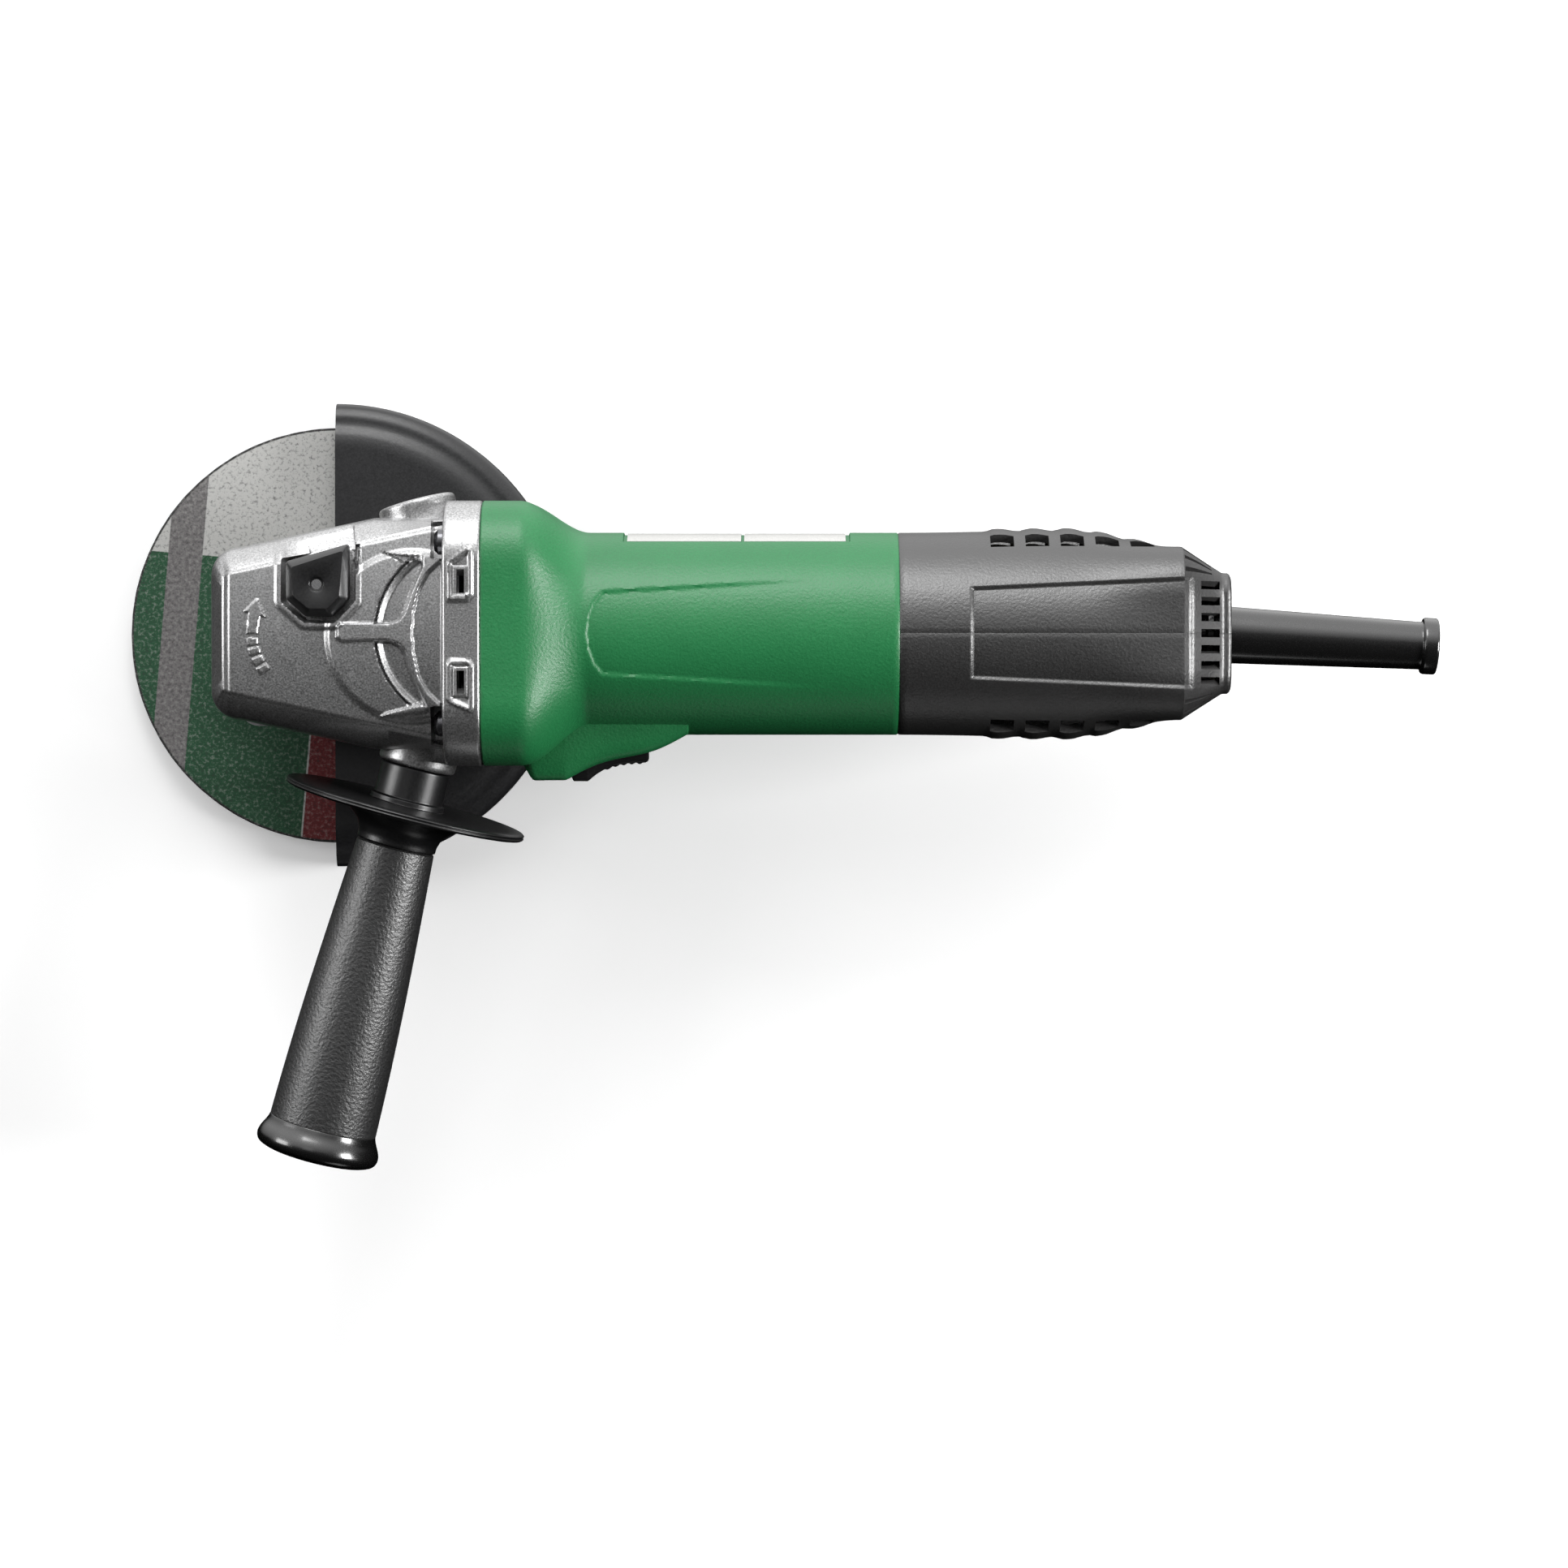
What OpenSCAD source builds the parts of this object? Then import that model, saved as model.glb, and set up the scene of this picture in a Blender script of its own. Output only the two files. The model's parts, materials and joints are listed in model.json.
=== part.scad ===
// Angle grinder for 125 mm wheels: gear head, universal motor, slide switch, guard and side handle.
// Millimetres. The spindle turns about Z and its free tip is at z = 0.
// The motor axis is parallel to X, with the gear head at -X and the cord end at +X.

/* [Wheel] */
// Outer diameter of the grinding wheel
wheel_d = 125; // [110:1:127]
// Thickness of the grinding wheel
wheel_t = 6; // [5:0.1:7.5]
// Bore of the grinding wheel
wheel_bore = 22.23; // [21:0.01:24]
// Diameter of the flat top of the raised hub
hub_d = 46; // [44:1:50]
// How far the hub stands above the rim
hub_rise = 5.5; // [4.5:0.1:6]

/* [Spindle] */
// Major diameter of the spindle thread
thread_d = 14; // [12:0.5:16]
// Length of thread that stands free below the lock nut
nose_l = 1.5; // [1.2:0.1:2.5]
// Thickness of the lock nut below the wheel
nut_t = 3.5; // [3:0.1:4.5]
// Diameter of the lock nut
nut_d = 42; // [42:0.5:43]
// Distance between the two spanner holes of the lock nut
nut_pin_pitch = 35; // [30:1:35]
// Thickness of the inner flange
flange_t = 5; // [4:0.1:6]
// Diameter of the inner flange
flange_d = 42; // [36:1:42.5]

/* [Gears] */
// Teeth on the bevel gear
gear_teeth = 37; // [35:1:39]
// Teeth on the pinion
pinion_teeth = 11; // [11:1:12]
// Pitch radius of the bevel gear at the heel
gear_pitch_r = 21; // [19.5:0.5:21.5]
// Face width of the teeth along the cone
gear_face = 7; // [5:0.5:7.5]

/* [Gear head] */
// Height of the motor axis above the spindle tip
axis_z = 56; // [54:1:62]
// Distance from the spindle axis to the front of the gear case
head_front = 31; // [30:1:36]
// Half width of the gear case at mid height beside the side handle sockets
head_half_w = 33.5; // [32:0.5:37]
// Distance from the spindle axis to the front of the rear band
band_x0 = 37; // [36:1:41]
// Length of the rear band of the gear case
band_l = 10.8; // [10:0.2:13]
// Width of the rear band
band_w = 76.2; // [74:0.2:82]
// Height of the rear band
band_h = 72; // [71:0.5:74]
// Corner radius of the rear band
band_corner_r = 18; // [15:1:22]

/* [Body] */
// Radius of the grip part of the motor housing
grip_r = 29.4; // [29:0.2:33]
// Wall of the grip part
grip_wall = 2.6; // [2.4:0.1:3.2]
// Length of the motor housing
housing_l = 119.5; // [117:0.5:135]
// Length of the tail cover
tail_l = 96; // [92:1:112]
// Wall of the tail cover
tail_wall = 2.4; // [2:0.1:3]

/* [Side handle] */
// Thread diameter of the handle stud
stud_d = 8; // [7:0.5:10]
// Lean of the handle towards the front, in degrees
handle_lean = 14.8; // [10:0.1:18]
// Droop of the handle below level, in degrees
handle_droop = 2; // [0:0.5:3]
// Length of the handle from its socket
handle_l = 119; // [100:1:135]
// Radius of the hand shield
shield_r = 35.7; // [30:0.1:36]

/* [Guard] */
// Outer radius of the guard
guard_r = 69.5; // [68:0.5:76]
// Sheet thickness of the guard
guard_t = 2; // [1.5:0.1:2.4]
// Height of the guard's skirt, from its top plate down
guard_depth = 15; // [12:0.5:16]

/* [Switch] */
// Forward travel of the switch knob
switch_travel = 6; // [4:0.5:7]
// Length of the switch knob
knob_l = 22.5; // [20:0.5:24]

/* [Spindle lock] */
// Travel of the lock button
lock_travel = 4; // [3:0.1:4.5]
// Radius of the lock pin
lock_pin_r = 2.2; // [1.8:0.1:2.4]

/* [Cord sleeve] */
// Radius of the bore for the cord
cord_bore_r = 4.2; // [3.5:0.1:5]
// Length of the sleeve beyond the tail cover
sleeve_l = 61; // [50:1:75]

/* [Hidden] */
$fn = 64;
hull_fn = 32;
snug = 0.01;
running = 0.05;
slip = 0.2;
gap = 0.4;

// Levels along the spindle, from the free tip upwards
nut_z0 = nose_l;
hub_z0 = nut_z0 + nut_t;
hub_z1 = hub_z0 + wheel_t;
rim_z1 = hub_z1 - hub_rise;
rim_z0 = rim_z1 - wheel_t;
pilot_l = 2;
seat_z = hub_z1 + flange_t;
collar_t = 3.5;
collar_r = 10;
bearing_z0 = seat_z + collar_t;

// Bearings as [bore radius, outer radius, width]
big_bearing = [6, 16, 10];
front_bearing = [5, 13, 8];
small_bearing = [3.5, 9.5, 6];
bearing_z1 = bearing_z0 + big_bearing[2];
seal_t = 2;
cover_z0 = seat_z + 0.8;
case_z0 = bearing_z1 + seal_t + 1.5;
spigot_r = 22;
cover_flange_t = 5;
cover_w = 54;
cover_screw = 21.5;
spindle_hole_r = collar_r + 0.6;

// Bevel gear pair, on cones that meet at the crossing of the two axes
cone_angle = atan(gear_teeth / pinion_teeth);
pinion_cone = 90 - cone_angle;
tooth_module = 2 * gear_pitch_r / gear_teeth;
pinion_pitch_r = tooth_module * pinion_teeth / 2;
cone_l = norm([gear_pitch_r, pinion_pitch_r]);
toe_scale = 1 - gear_face / cone_l;
profile_shift = 0.35;
pressure_angle = 20;
tooth_backlash = 0.12;
tooth_clearance = 0.34;
spiral_pitches = 0.3;
gear_web = 6.3;
gear_back_z = axis_z + pinion_pitch_r + gear_web;
gear_bore_r = 5.5;
gear_hub_r = 9;
gear_hub_z0 = axis_z + 4.6;
key_w = 3;
lock_holes = 4;
lock_depth = 4.2;

// Gear case
cavity_r = gear_pitch_r + 3;
cavity_z1 = gear_back_z + 0.8;
top_bearing_z0 = cavity_z1 + 0.2;
top_bearing_z1 = top_bearing_z0 + small_bearing[2];
case_top_front = axis_z + 28;
case_top_rear = axis_z + 33;
case_foot_r = 30;
holder_bore_r = 17;
band_x1 = band_x0 + band_l;
band_wall = 3;
band_bore_r = band_h / 2 - band_wall;
case_screw_y = 26;
case_screw_z = 25.5;
case_screw_r = 2;
case_screw_head_r = 3.65;
slot_w = 2.2;
slot_l = 6.6;
slot_y = [14.4, -13.9];

// Spindle lock
lock_xy = [1.3, 13.8];
lock_r = norm(lock_xy);
lock_angle = atan2(lock_xy[1], lock_xy[0]);
button_top_z = case_top_front + 7.2;
button_skirt_z = button_top_z - 8;
pocket_z0 = button_skirt_z - lock_travel - 0.3;
button_outline = [[-8.9, 6.5], [8.9, 11.5], [8.9, -4.2], [4.1, -9.2], [-3.3, -9.2], [-8.9, -4.2]];
button_clear = 0.7;
button_hollow_r = 5;
lock_tip_z = gear_back_z + 0.7;
button_roof = 2.4;

// Side handle sockets
boss_r = 11.3;
boss_x = 27.1;
boss_y = band_w / 2 + 0.4;
boss_l = 14;
socket_depth = 15;
socket_r = stud_d / 2 + running;

// Motor, as positions along X from the spindle axis
holder_x0 = band_x0 + 1;
bearing_x0 = holder_x0 + 0.5;
bearing_x1 = bearing_x0 + front_bearing[2];
fan_x0 = bearing_x1 + 2.5;
fan_l = 11.5;
fan_r = 31;
fan_blades = 13;
baffle_x0 = fan_x0 + fan_l + 0.8;
baffle_t = 2.5;
housing_x0 = band_x1;
housing_x1 = housing_x0 + housing_l;
flare_x0 = housing_x0 + 14;
flare_x1 = housing_x0 + 26.6;
fan_bore_r = 34;
motor_bore_r = grip_r - grip_wall;
stator_r = motor_bore_r - 0.1;
stator_x0 = housing_x0 + 30.2;
stator_l = 48;
stator_x1 = stator_x0 + stator_l;
stator_bore_r = 17.6;
stator_flat = motor_bore_r - 2.7;
yoke_r = stator_bore_r + 3.9;
neck_half_w = 8;
horn_r = stator_bore_r + 1.6;
coil_half_angle = 60;
coil_end = 4;
core_r = stator_bore_r - 0.6;
core_x0 = stator_x0 + 4;
core_l = stator_l - 8;
core_x1 = core_x0 + core_l;
core_slots = 12;
slot_centre_r = core_r - 2.9;
slot_hole_r = 1.9;
end_turn_r = 3.8;
end_turn_centre_r = 11.5;
shaft_r = front_bearing[0];
comm_r = 10.5;
comm_x0 = core_x1 + 9;
comm_l = 13;
comm_bars = 24;
brush_x = comm_x0 + comm_l / 2;
web_x0 = comm_x0 + comm_l + 2;
web_t = 3.5;
rear_seat_r = 11.5;
rear_boss_r = 14;
rear_seat_x0 = web_x0 + web_t;
rear_bearing_x0 = rear_seat_x0 + 0.5;
rear_bearing_x1 = rear_bearing_x0 + small_bearing[2];
stator_screw_r = 1.5;
stator_screw_at = (yoke_r + stator_r) / 2;
stator_boss_x0 = flare_x0 + 6;

// Carbon brushes
brush_w = 6.4;
brush_d = 9.6;
brush_l = 9;
brush_r0 = comm_r + 0.06;
brush_r1 = brush_r0 + brush_l;
brush_lift = 2.5;
holder_r0 = comm_r + 2;
holder_r1 = motor_bore_r - 1.2;
holder_wall = 1.3;
spring_r1 = holder_r1 - holder_wall;

// Slide switch
bar_y1 = motor_bore_r - 0.3;
bar_y0 = bar_y1 - 2.2;
bar_half_z = 3;
knob_x0 = housing_x0 + 24.4;
knob_x1 = knob_x0 + knob_l;
knob_half_z = 7.6;
knob_pivot_x = knob_x1 - 4.3;
knob_pivot_y = 31.6;
knob_y0 = grip_r + 0.9;
peg_r = 1.2;
lug_half_z = 2;
lug_half_x = 2.4;
knob_pocket_y0 = grip_r;
knob_tilt = 2.5;
bulge_y = 42.2;
bulge_half_z = 13;
bulge_x0 = housing_x0 + 11.5;
bulge_x1 = housing_x0 + 23.2;
bulge_end_x = housing_x0 + 58.4;

// Tail cover
tail_x0 = housing_x1;
tail_x1 = tail_x0 + tail_l;
tail_mid_x = tail_x0 + tail_l * 0.48;
tail_mid_r = grip_r + 0.6;
tail_slope_x = tail_x1 - 15;
tail_slope_w = 50;
tail_slope_h = 2 * grip_r - 1;
tail_end_w = 35;
tail_end_h = 30;
tail_end_t = 2.6;
spigot_l = 5;
spigot_gap = 0.2;
panel_x0 = tail_x0 + 20.4;
panel_x1 = tail_slope_x + 2;
panel_depth = 1;
vent_count = 5;
vent_pitch = 10.1;
vent_w = 6.8;
vent_levels = [[-10.6, -3], [10.6, 16.4]];
vent_x0 = tail_x0 + 26.4;
end_slots = 7;
end_slot_pitch = 4.6;
end_slot_w = 2.4;
end_slot_x0 = tail_slope_x + 5.5;
screw_boss_r = 4.5;
tail_screw_r = 1.8;
tail_screw_head_r = 3.6;
tail_screw_l = 22;
tail_screw_xz = [[tail_x0 + 9.5, axis_z - 18.5], [tail_x0 + 9.5, axis_z + 18.5], [tail_x1 - 29, axis_z - 17]];
tail_screw_seat = 13;
switch_x0 = tail_x0 + 18;
switch_size = [30, 14, 21];
switch_y1 = -bar_y0 + 4.5;
actuator_x = switch_x0 + 8;
shelf_x0 = tail_x1 - 24;
shelf_l = 7;
clamp_half_w = 9.5;
lead_r = 1;
lead_z = 12;
clamp_screw_y = 6.8;

// Cord sleeve, in a frame that is tilted about Z where it passes the end wall
sleeve_tilt = 3.2;
sleeve_root_x = tail_x1 - 5.5;
sleeve_root_r = 8.35;
sleeve_tip_r = 6.95;
sleeve_lip_r = 8.25;
sleeve_lip_l = 4.6;
sleeve_flange_r = 11;
sleeve_inner_l = 6;

// Name plates on the right side
plate_x = [housing_x0 + 41.1, housing_x0 + 74.9];
plate_l = [32.9, 29.3];
plate_angle = 24;
plate_recess = 0.7;
plate_t = 0.45;

// Side handle, along its own axis from the socket face
collar_l = 11.5;
handle_collar_r = 10.2;
shield_t = 2.4;
neck_r = 11.4;
grip_u0 = 24.4;
grip_u1 = handle_l - 10.5;
grip_r0 = 11.5;
grip_r1 = 15.8;
grip_sleeve_t = 1.8;
cap_r = 18.3;
cap_core_r = 9;

// Guard
guard_z1 = cover_z0 + 0.2;
guard_z0 = guard_z1 - guard_t;
guard_bore_r = spigot_r + running;
guard_band_t = 1.8;
guard_band_h = 8.2;
guard_hub_r = 30;
guard_crown = 2;
guard_lip = 3;
ear_x = guard_bore_r + 1;
ear_l = 13;
ear_gap = 3;
ear_t = 2.5;
ear_screw_r = 2;
ear_screw_z = guard_z1 + 4.3;

// ---------- shared shapes ----------

// Children drawn along +Z are laid along +X on the motor axis, starting at x
module along_x(x) {
    translate([x, 0, axis_z])
        rotate([0, 90, 0])
            children();
}

module tube(r_out, r_in, h) {
    difference() {
        cylinder(r = r_out, h = h);
        translate([0, 0, -1])
            cylinder(r = r_in, h = h + 2);
    }
}

// A rectangle with round corners, made of squares and circles so that its corners stay true arcs
module round_rect(w, h, r) {
    square([w - 2 * r, h], center = true);
    square([w, h - 2 * r], center = true);
    for (sx = [-1, 1], sy = [-1, 1])
        translate([sx * (w / 2 - r), sy * (h / 2 - r)])
            circle(r = r);
}

// A flat sector of a ring between two radii, centred on +X
module ring_sector(r_in, r_out, half_angle) {
    reach = 2 * r_out;
    difference() {
        intersection() {
            circle(r = r_out);
            polygon([
                [0, 0],
                reach * [cos(half_angle), -sin(half_angle)],
                [reach, -reach * sin(half_angle)],
                [reach, reach * sin(half_angle)],
                reach * [cos(half_angle), sin(half_angle)]
            ]);
        }
        circle(r = r_in);
    }
}

// The outer race and the balls in their cage; bearing is [bore radius, outer radius, width]
function ball_track_r(b) = (b[0] + b[1]) / 2;
function ball_r(b) = (b[1] - b[0]) * 0.3;

module bearing_outer(b) {
    track = ball_track_r(b);
    balls = 8;
    difference() {
        tube(b[1] - snug, track + ball_r(b) * 0.5, b[2]);
        translate([0, 0, b[2] / 2])
            rotate_extrude()
                translate([track, 0])
                    circle(r = ball_r(b) + 0.04);
    }
    translate([0, 0, b[2] / 2]) {
        for (i = [0:balls - 1])
            rotate([0, 0, i * 360 / balls])
                translate([track, 0, 0])
                    sphere(r = ball_r(b));
        translate([0, 0, -0.6])
            tube(track + 0.5, track - 0.5, 1.2);
    }
}

module bearing_inner(b) {
    track = ball_track_r(b);
    difference() {
        tube(track - ball_r(b) * 0.5, b[0] + snug, b[2]);
        translate([0, 0, b[2] / 2])
            rotate_extrude()
                translate([track, 0])
                    circle(r = ball_r(b) + 0.04);
    }
}

// A pan-head screw whose head starts at z = 0 and whose shank runs down to -l
module pan_screw(r, head_r, l) {
    head_h = head_r * 0.75;
    difference() {
        union() {
            cylinder(r = head_r, h = head_h * 0.6);
            translate([0, 0, head_h * 0.6])
                cylinder(r1 = head_r, r2 = head_r * 0.7, h = head_h * 0.4);
            translate([0, 0, -l])
                cylinder(r = r, h = l + 0.1);
        }
        for (turn = [0, 90])
            rotate([0, 0, turn])
                translate([0, 0, head_h])
                    cube([head_r * 1.1, head_r * 0.25, head_h], center = true);
    }
}

// A closed helical wire between z = 0 and z = h, wound with the given number of turns
module coil_spring(r, wire_r, h, turns) {
    sides = 6;
    steps = 14 * turns;
    function ring(i) = let (a = 360 * turns * i / steps)
        [for (s = [0:sides - 1]) let (q = 360 * s / sides)
            [(r + wire_r * cos(q)) * cos(a), (r + wire_r * cos(q)) * sin(a),
             wire_r + (h - 2 * wire_r) * i / steps + wire_r * sin(q)]];
    points = [for (i = [0:steps]) each ring(i)];
    walls = [for (i = [0:steps - 1], s = [0:sides - 1]) let (n = (s + 1) % sides, a = i * sides)
        each [[a + s, a + sides + s, a + sides + n], [a + s, a + sides + n, a + n]]];
    start = [[for (s = [0:sides - 1]) s]];
    end = [[for (s = [sides - 1:-1:0]) steps * sides + s]];
    polyhedron(points, concat(walls, start, end), convexity = 10);
}

// ---------- bevel gear teeth ----------

// Half thickness angle of an involute tooth at radius r, for a gear of pitch radius pr whose
// half thickness angle at the pitch circle is at_pitch, all in degrees
function involute(a) = tan(a) * 180 / PI - a;
function half_angle_at(r, pr, at_pitch) = let (base = pr * cos(pressure_angle))
    at_pitch + involute(pressure_angle) - (r > base ? involute(acos(base / r)) : 0);

// One tooth as [height above the pitch cone, turn about the gear axis], from root up and down again
function tooth(teeth, cone, shift) =
    let (m = tooth_module, pr = m * teeth / 2 / cos(cone),
         top = (1 + shift) * m - 0.05 * m, root = -(1 - shift) * m - tooth_clearance,
         half = (PI / 4 + shift * tan(pressure_angle)) * m - tooth_backlash,
         at_pitch = half / pr * 180 / PI, steps = 3,
         flank = [for (i = [0:steps]) let (v = root + (top - root) * i / steps)
             [v, max(half_angle_at(pr + v, pr, at_pitch), 0.2) / cos(cone)]])
    concat([for (p = flank) [p[0], -p[1]]], [for (i = [steps:-1:0]) flank[i]]);

// The point of a tooth at height v and turn a, at scale k along the cone, with the gear axis along
// +Z and the cones' apex at the origin; side 1 has its teeth pointing down, side -1 outwards
function tooth_point(pitch_r, cone, v, a, k) =
    let (h = pitch_r / tan(cone), r = k * (pitch_r + v * cos(cone)), z = k * (h - v * sin(cone)))
    [r * cos(a), r * sin(a), z];

// A closed ring of teeth: heel to toe, then back inside along a plain cone
module tooth_ring(teeth, cone, shift, hand, backing) {
    pitch_r = tooth_module * teeth / 2;
    outline = tooth(teeth, cone, shift);
    count = len(outline);
    whole = teeth * count;
    scales = [for (i = [0:3]) 1 + (toe_scale - 1) * i / 3];
    root = outline[0][0];
    function turn_at(k) = hand * spiral_pitches * 360 / teeth * (1 - k) / (1 - toe_scale);
    function ring(k, back) = [for (t = [0:teeth - 1], p = outline)
        tooth_point(pitch_r, cone, back > 0 ? root - back : p[0], 360 * t / teeth + p[1] + turn_at(k), k)];
    points = concat(
        [for (k = scales) each ring(k, 0)],
        ring(toe_scale, backing / toe_scale),
        ring(1, backing)
    );
    loops = len(scales) + 2;
    faces = [for (i = [0:loops - 1], s = [0:whole - 1])
        let (n = (s + 1) % whole, a = i * whole, b = ((i + 1) % loops) * whole)
        each [[a + s, a + n, b + n], [a + s, b + n, b + s]]];
    polyhedron(points, faces, convexity = 12);
}

// ---------- gear head ----------

module band_outline() {
    round_rect(band_h, band_w, band_corner_r);
}

// The body of the gear case forward of the band: a low flat top, sloping sides and a round foot
module head_body() {
    nose_w = 17;
    hull($fn = hull_fn) {
        translate([-head_front + 5, -19, case_top_front - 2])
            cube([2, 38, 2]);
        translate([band_x0, -29, case_top_rear - 2])
            cube([1, 58, 2]);
        for (s = [-1, 1]) {
            translate([-head_front + 8, s * nose_w, axis_z - 8])
                cylinder(r = 8, h = 26);
            translate([band_x0 - 21, s * (head_half_w - 9), axis_z - 14])
                cylinder(r = 9, h = 34);
            translate([band_x0 - 1, s * (head_half_w - 7) , axis_z - 18])
                cylinder(r = 7, h = 40);
        }
        translate([0, 0, case_z0])
            cylinder(r = case_foot_r, h = 2);
        translate([band_x0 - 2, -24, axis_z - 24])
            cube([3, 48, 4]);
    }
}

// Children drawn along +Z are laid along the handle axis, from the socket face outwards
module handle_frame(side) {
    translate([boss_x, side * boss_y, axis_z])
        rotate([0, 0, side * (90 + handle_lean)])
            rotate([0, 90 + handle_droop, 0])
                children();
}

module lock_hole_frame() {
    translate([lock_xy[0], lock_xy[1], 0])
        children();
}

module button_shape(grow) {
    offset(delta = grow)
        polygon(button_outline);
}

module gear_case() {
    color([0.66, 0.67, 0.68])
    difference() {
        union() {
            head_body();
            along_x(band_x0)
                linear_extrude(band_l)
                    band_outline();
            for (side = [-1, 1])
                handle_frame(side)
                    translate([0, 0, -boss_l])
                        cylinder(r = boss_r, h = boss_l);
            lock_hole_frame()
                translate([0, 0, pocket_z0])
                    linear_extrude(case_top_front + 2.6 - pocket_z0)
                        button_shape(button_clear + 1.4);
        }
        // gear chamber, top bearing seat and the mouth for the bearing holder
        translate([0, 0, case_z0 - 1])
            cylinder(r = cavity_r, h = cavity_z1 - case_z0 + 1);
        translate([0, 0, cavity_z1 - 1])
            cylinder(r = small_bearing[1], h = top_bearing_z1 - cavity_z1 + 1);
        along_x(8)
            cylinder(r = holder_bore_r, h = holder_x0 - 8 + 1);
        along_x(holder_x0)
            cylinder(r = band_bore_r, h = band_l + 1);
        // spindle lock
        lock_hole_frame() {
            translate([0, 0, pocket_z0])
                linear_extrude(20)
                    button_shape(button_clear);
            translate([0, 0, cavity_z1 - 1])
                cylinder(r = lock_pin_r + running, h = pocket_z0 - cavity_z1 + 2);
        }
        // side handle sockets
        for (side = [-1, 1])
            handle_frame(side)
                translate([0, 0, -socket_depth])
                    cylinder(r = socket_r, h = socket_depth + 1);
        // exhaust slots in the band, and the case screws with room for their heads
        for (y = slot_y, flip = [-1, 1])
            translate([(band_x0 + band_x1) / 2, y, axis_z + flip * band_h / 2])
                cube([slot_w, slot_l, 4 * band_wall], center = true);
        for (sy = [-1, 1], sz = [-1, 1])
            translate([0, sy * case_screw_y, sz * case_screw_z]) {
                along_x(band_x0 - 1)
                    cylinder(r = case_screw_r + running, h = band_l + 2);
                along_x(band_x0 - 14)
                    cylinder(r = case_screw_head_r + 1.1, h = 14);
            }
        // foot face
        translate([-60, -60, case_z0 - 40])
            cube([120 - 60 + band_x0 - 2 - 60 + 60, 120, 40]);
        for (sx = [-1, 1], sy = [-1, 1])
            translate([sx * cover_screw, sy * cover_screw, case_z0 - 1])
                cylinder(r = 1.65, h = 9);
    }
}

module gear_case_screws() {
    color([0.25, 0.25, 0.27])
    for (sy = [-1, 1], sz = [-1, 1])
        translate([0, sy * case_screw_y, sz * case_screw_z])
            along_x(band_x0)
                mirror([0, 0, 1])
                    pan_screw(case_screw_r, case_screw_head_r, band_l + 9);
}

module bearing_cover() {
    color([0.6, 0.61, 0.62])
    difference() {
        union() {
            translate([0, 0, cover_z0])
                cylinder(r = spigot_r, h = case_z0 - cover_z0);
            translate([0, 0, case_z0 - cover_flange_t])
                linear_extrude(cover_flange_t)
                    round_rect(cover_w, cover_w, 6);
        }
        translate([0, 0, bearing_z0])
            cylinder(r = big_bearing[1], h = 30);
        translate([0, 0, cover_z0 - 1])
            cylinder(r = spindle_hole_r, h = 30);
        for (sx = [-1, 1], sy = [-1, 1])
            translate([sx * cover_screw, sy * cover_screw, case_z0 - 10])
                cylinder(r = 2.05, h = 20);
    }
}

module bearing_cover_screws() {
    color([0.25, 0.25, 0.27])
    for (sx = [-1, 1], sy = [-1, 1])
        translate([sx * cover_screw, sy * cover_screw, case_z0 - cover_flange_t])
            mirror([0, 0, 1])
                pan_screw(1.6, 3.2, 12);
}

module dust_seal() {
    color([0.35, 0.33, 0.3])
    translate([0, 0, bearing_z1 + 0.1])
        tube(big_bearing[1] - snug, big_bearing[0] + 0.15, seal_t);
}

module spindle_bearing_outer() {
    color("silver")
    translate([0, 0, bearing_z0])
        bearing_outer(big_bearing);
}

module spindle_bearing_inner() {
    color("silver")
    translate([0, 0, bearing_z0])
        bearing_inner(big_bearing);
}

module top_bearing_outer() {
    color("silver")
    translate([0, 0, top_bearing_z0])
        bearing_outer(small_bearing);
}

module top_bearing_inner() {
    color("silver")
    translate([0, 0, top_bearing_z0])
        bearing_inner(small_bearing);
}

module spindle() {
    color([0.55, 0.56, 0.58])
    difference() {
        union() {
            cylinder(r = thread_d / 2, h = seat_z);
            translate([0, 0, seat_z])
                cylinder(r = collar_r, h = collar_t);
            cylinder(r = big_bearing[0], h = gear_hub_z0);
            cylinder(r = gear_bore_r, h = gear_back_z);
            cylinder(r = small_bearing[0], h = top_bearing_z1);
        }
        translate([0, 0, -0.1])
            cylinder(r1 = 2.6, r2 = 0.2, h = 2.4);
        translate([gear_bore_r - key_w / 2, -key_w / 2, gear_hub_z0])
            cube([key_w, key_w, gear_back_z - gear_hub_z0 - 1]);
    }
}

module gear_key() {
    color([0.4, 0.4, 0.42])
    translate([gear_bore_r - key_w / 2 + snug, -key_w / 2 + snug, gear_hub_z0 + 0.2])
        cube([key_w - 2 * snug, key_w - 2 * snug, gear_back_z - gear_hub_z0 - 1.6]);
}

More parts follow.
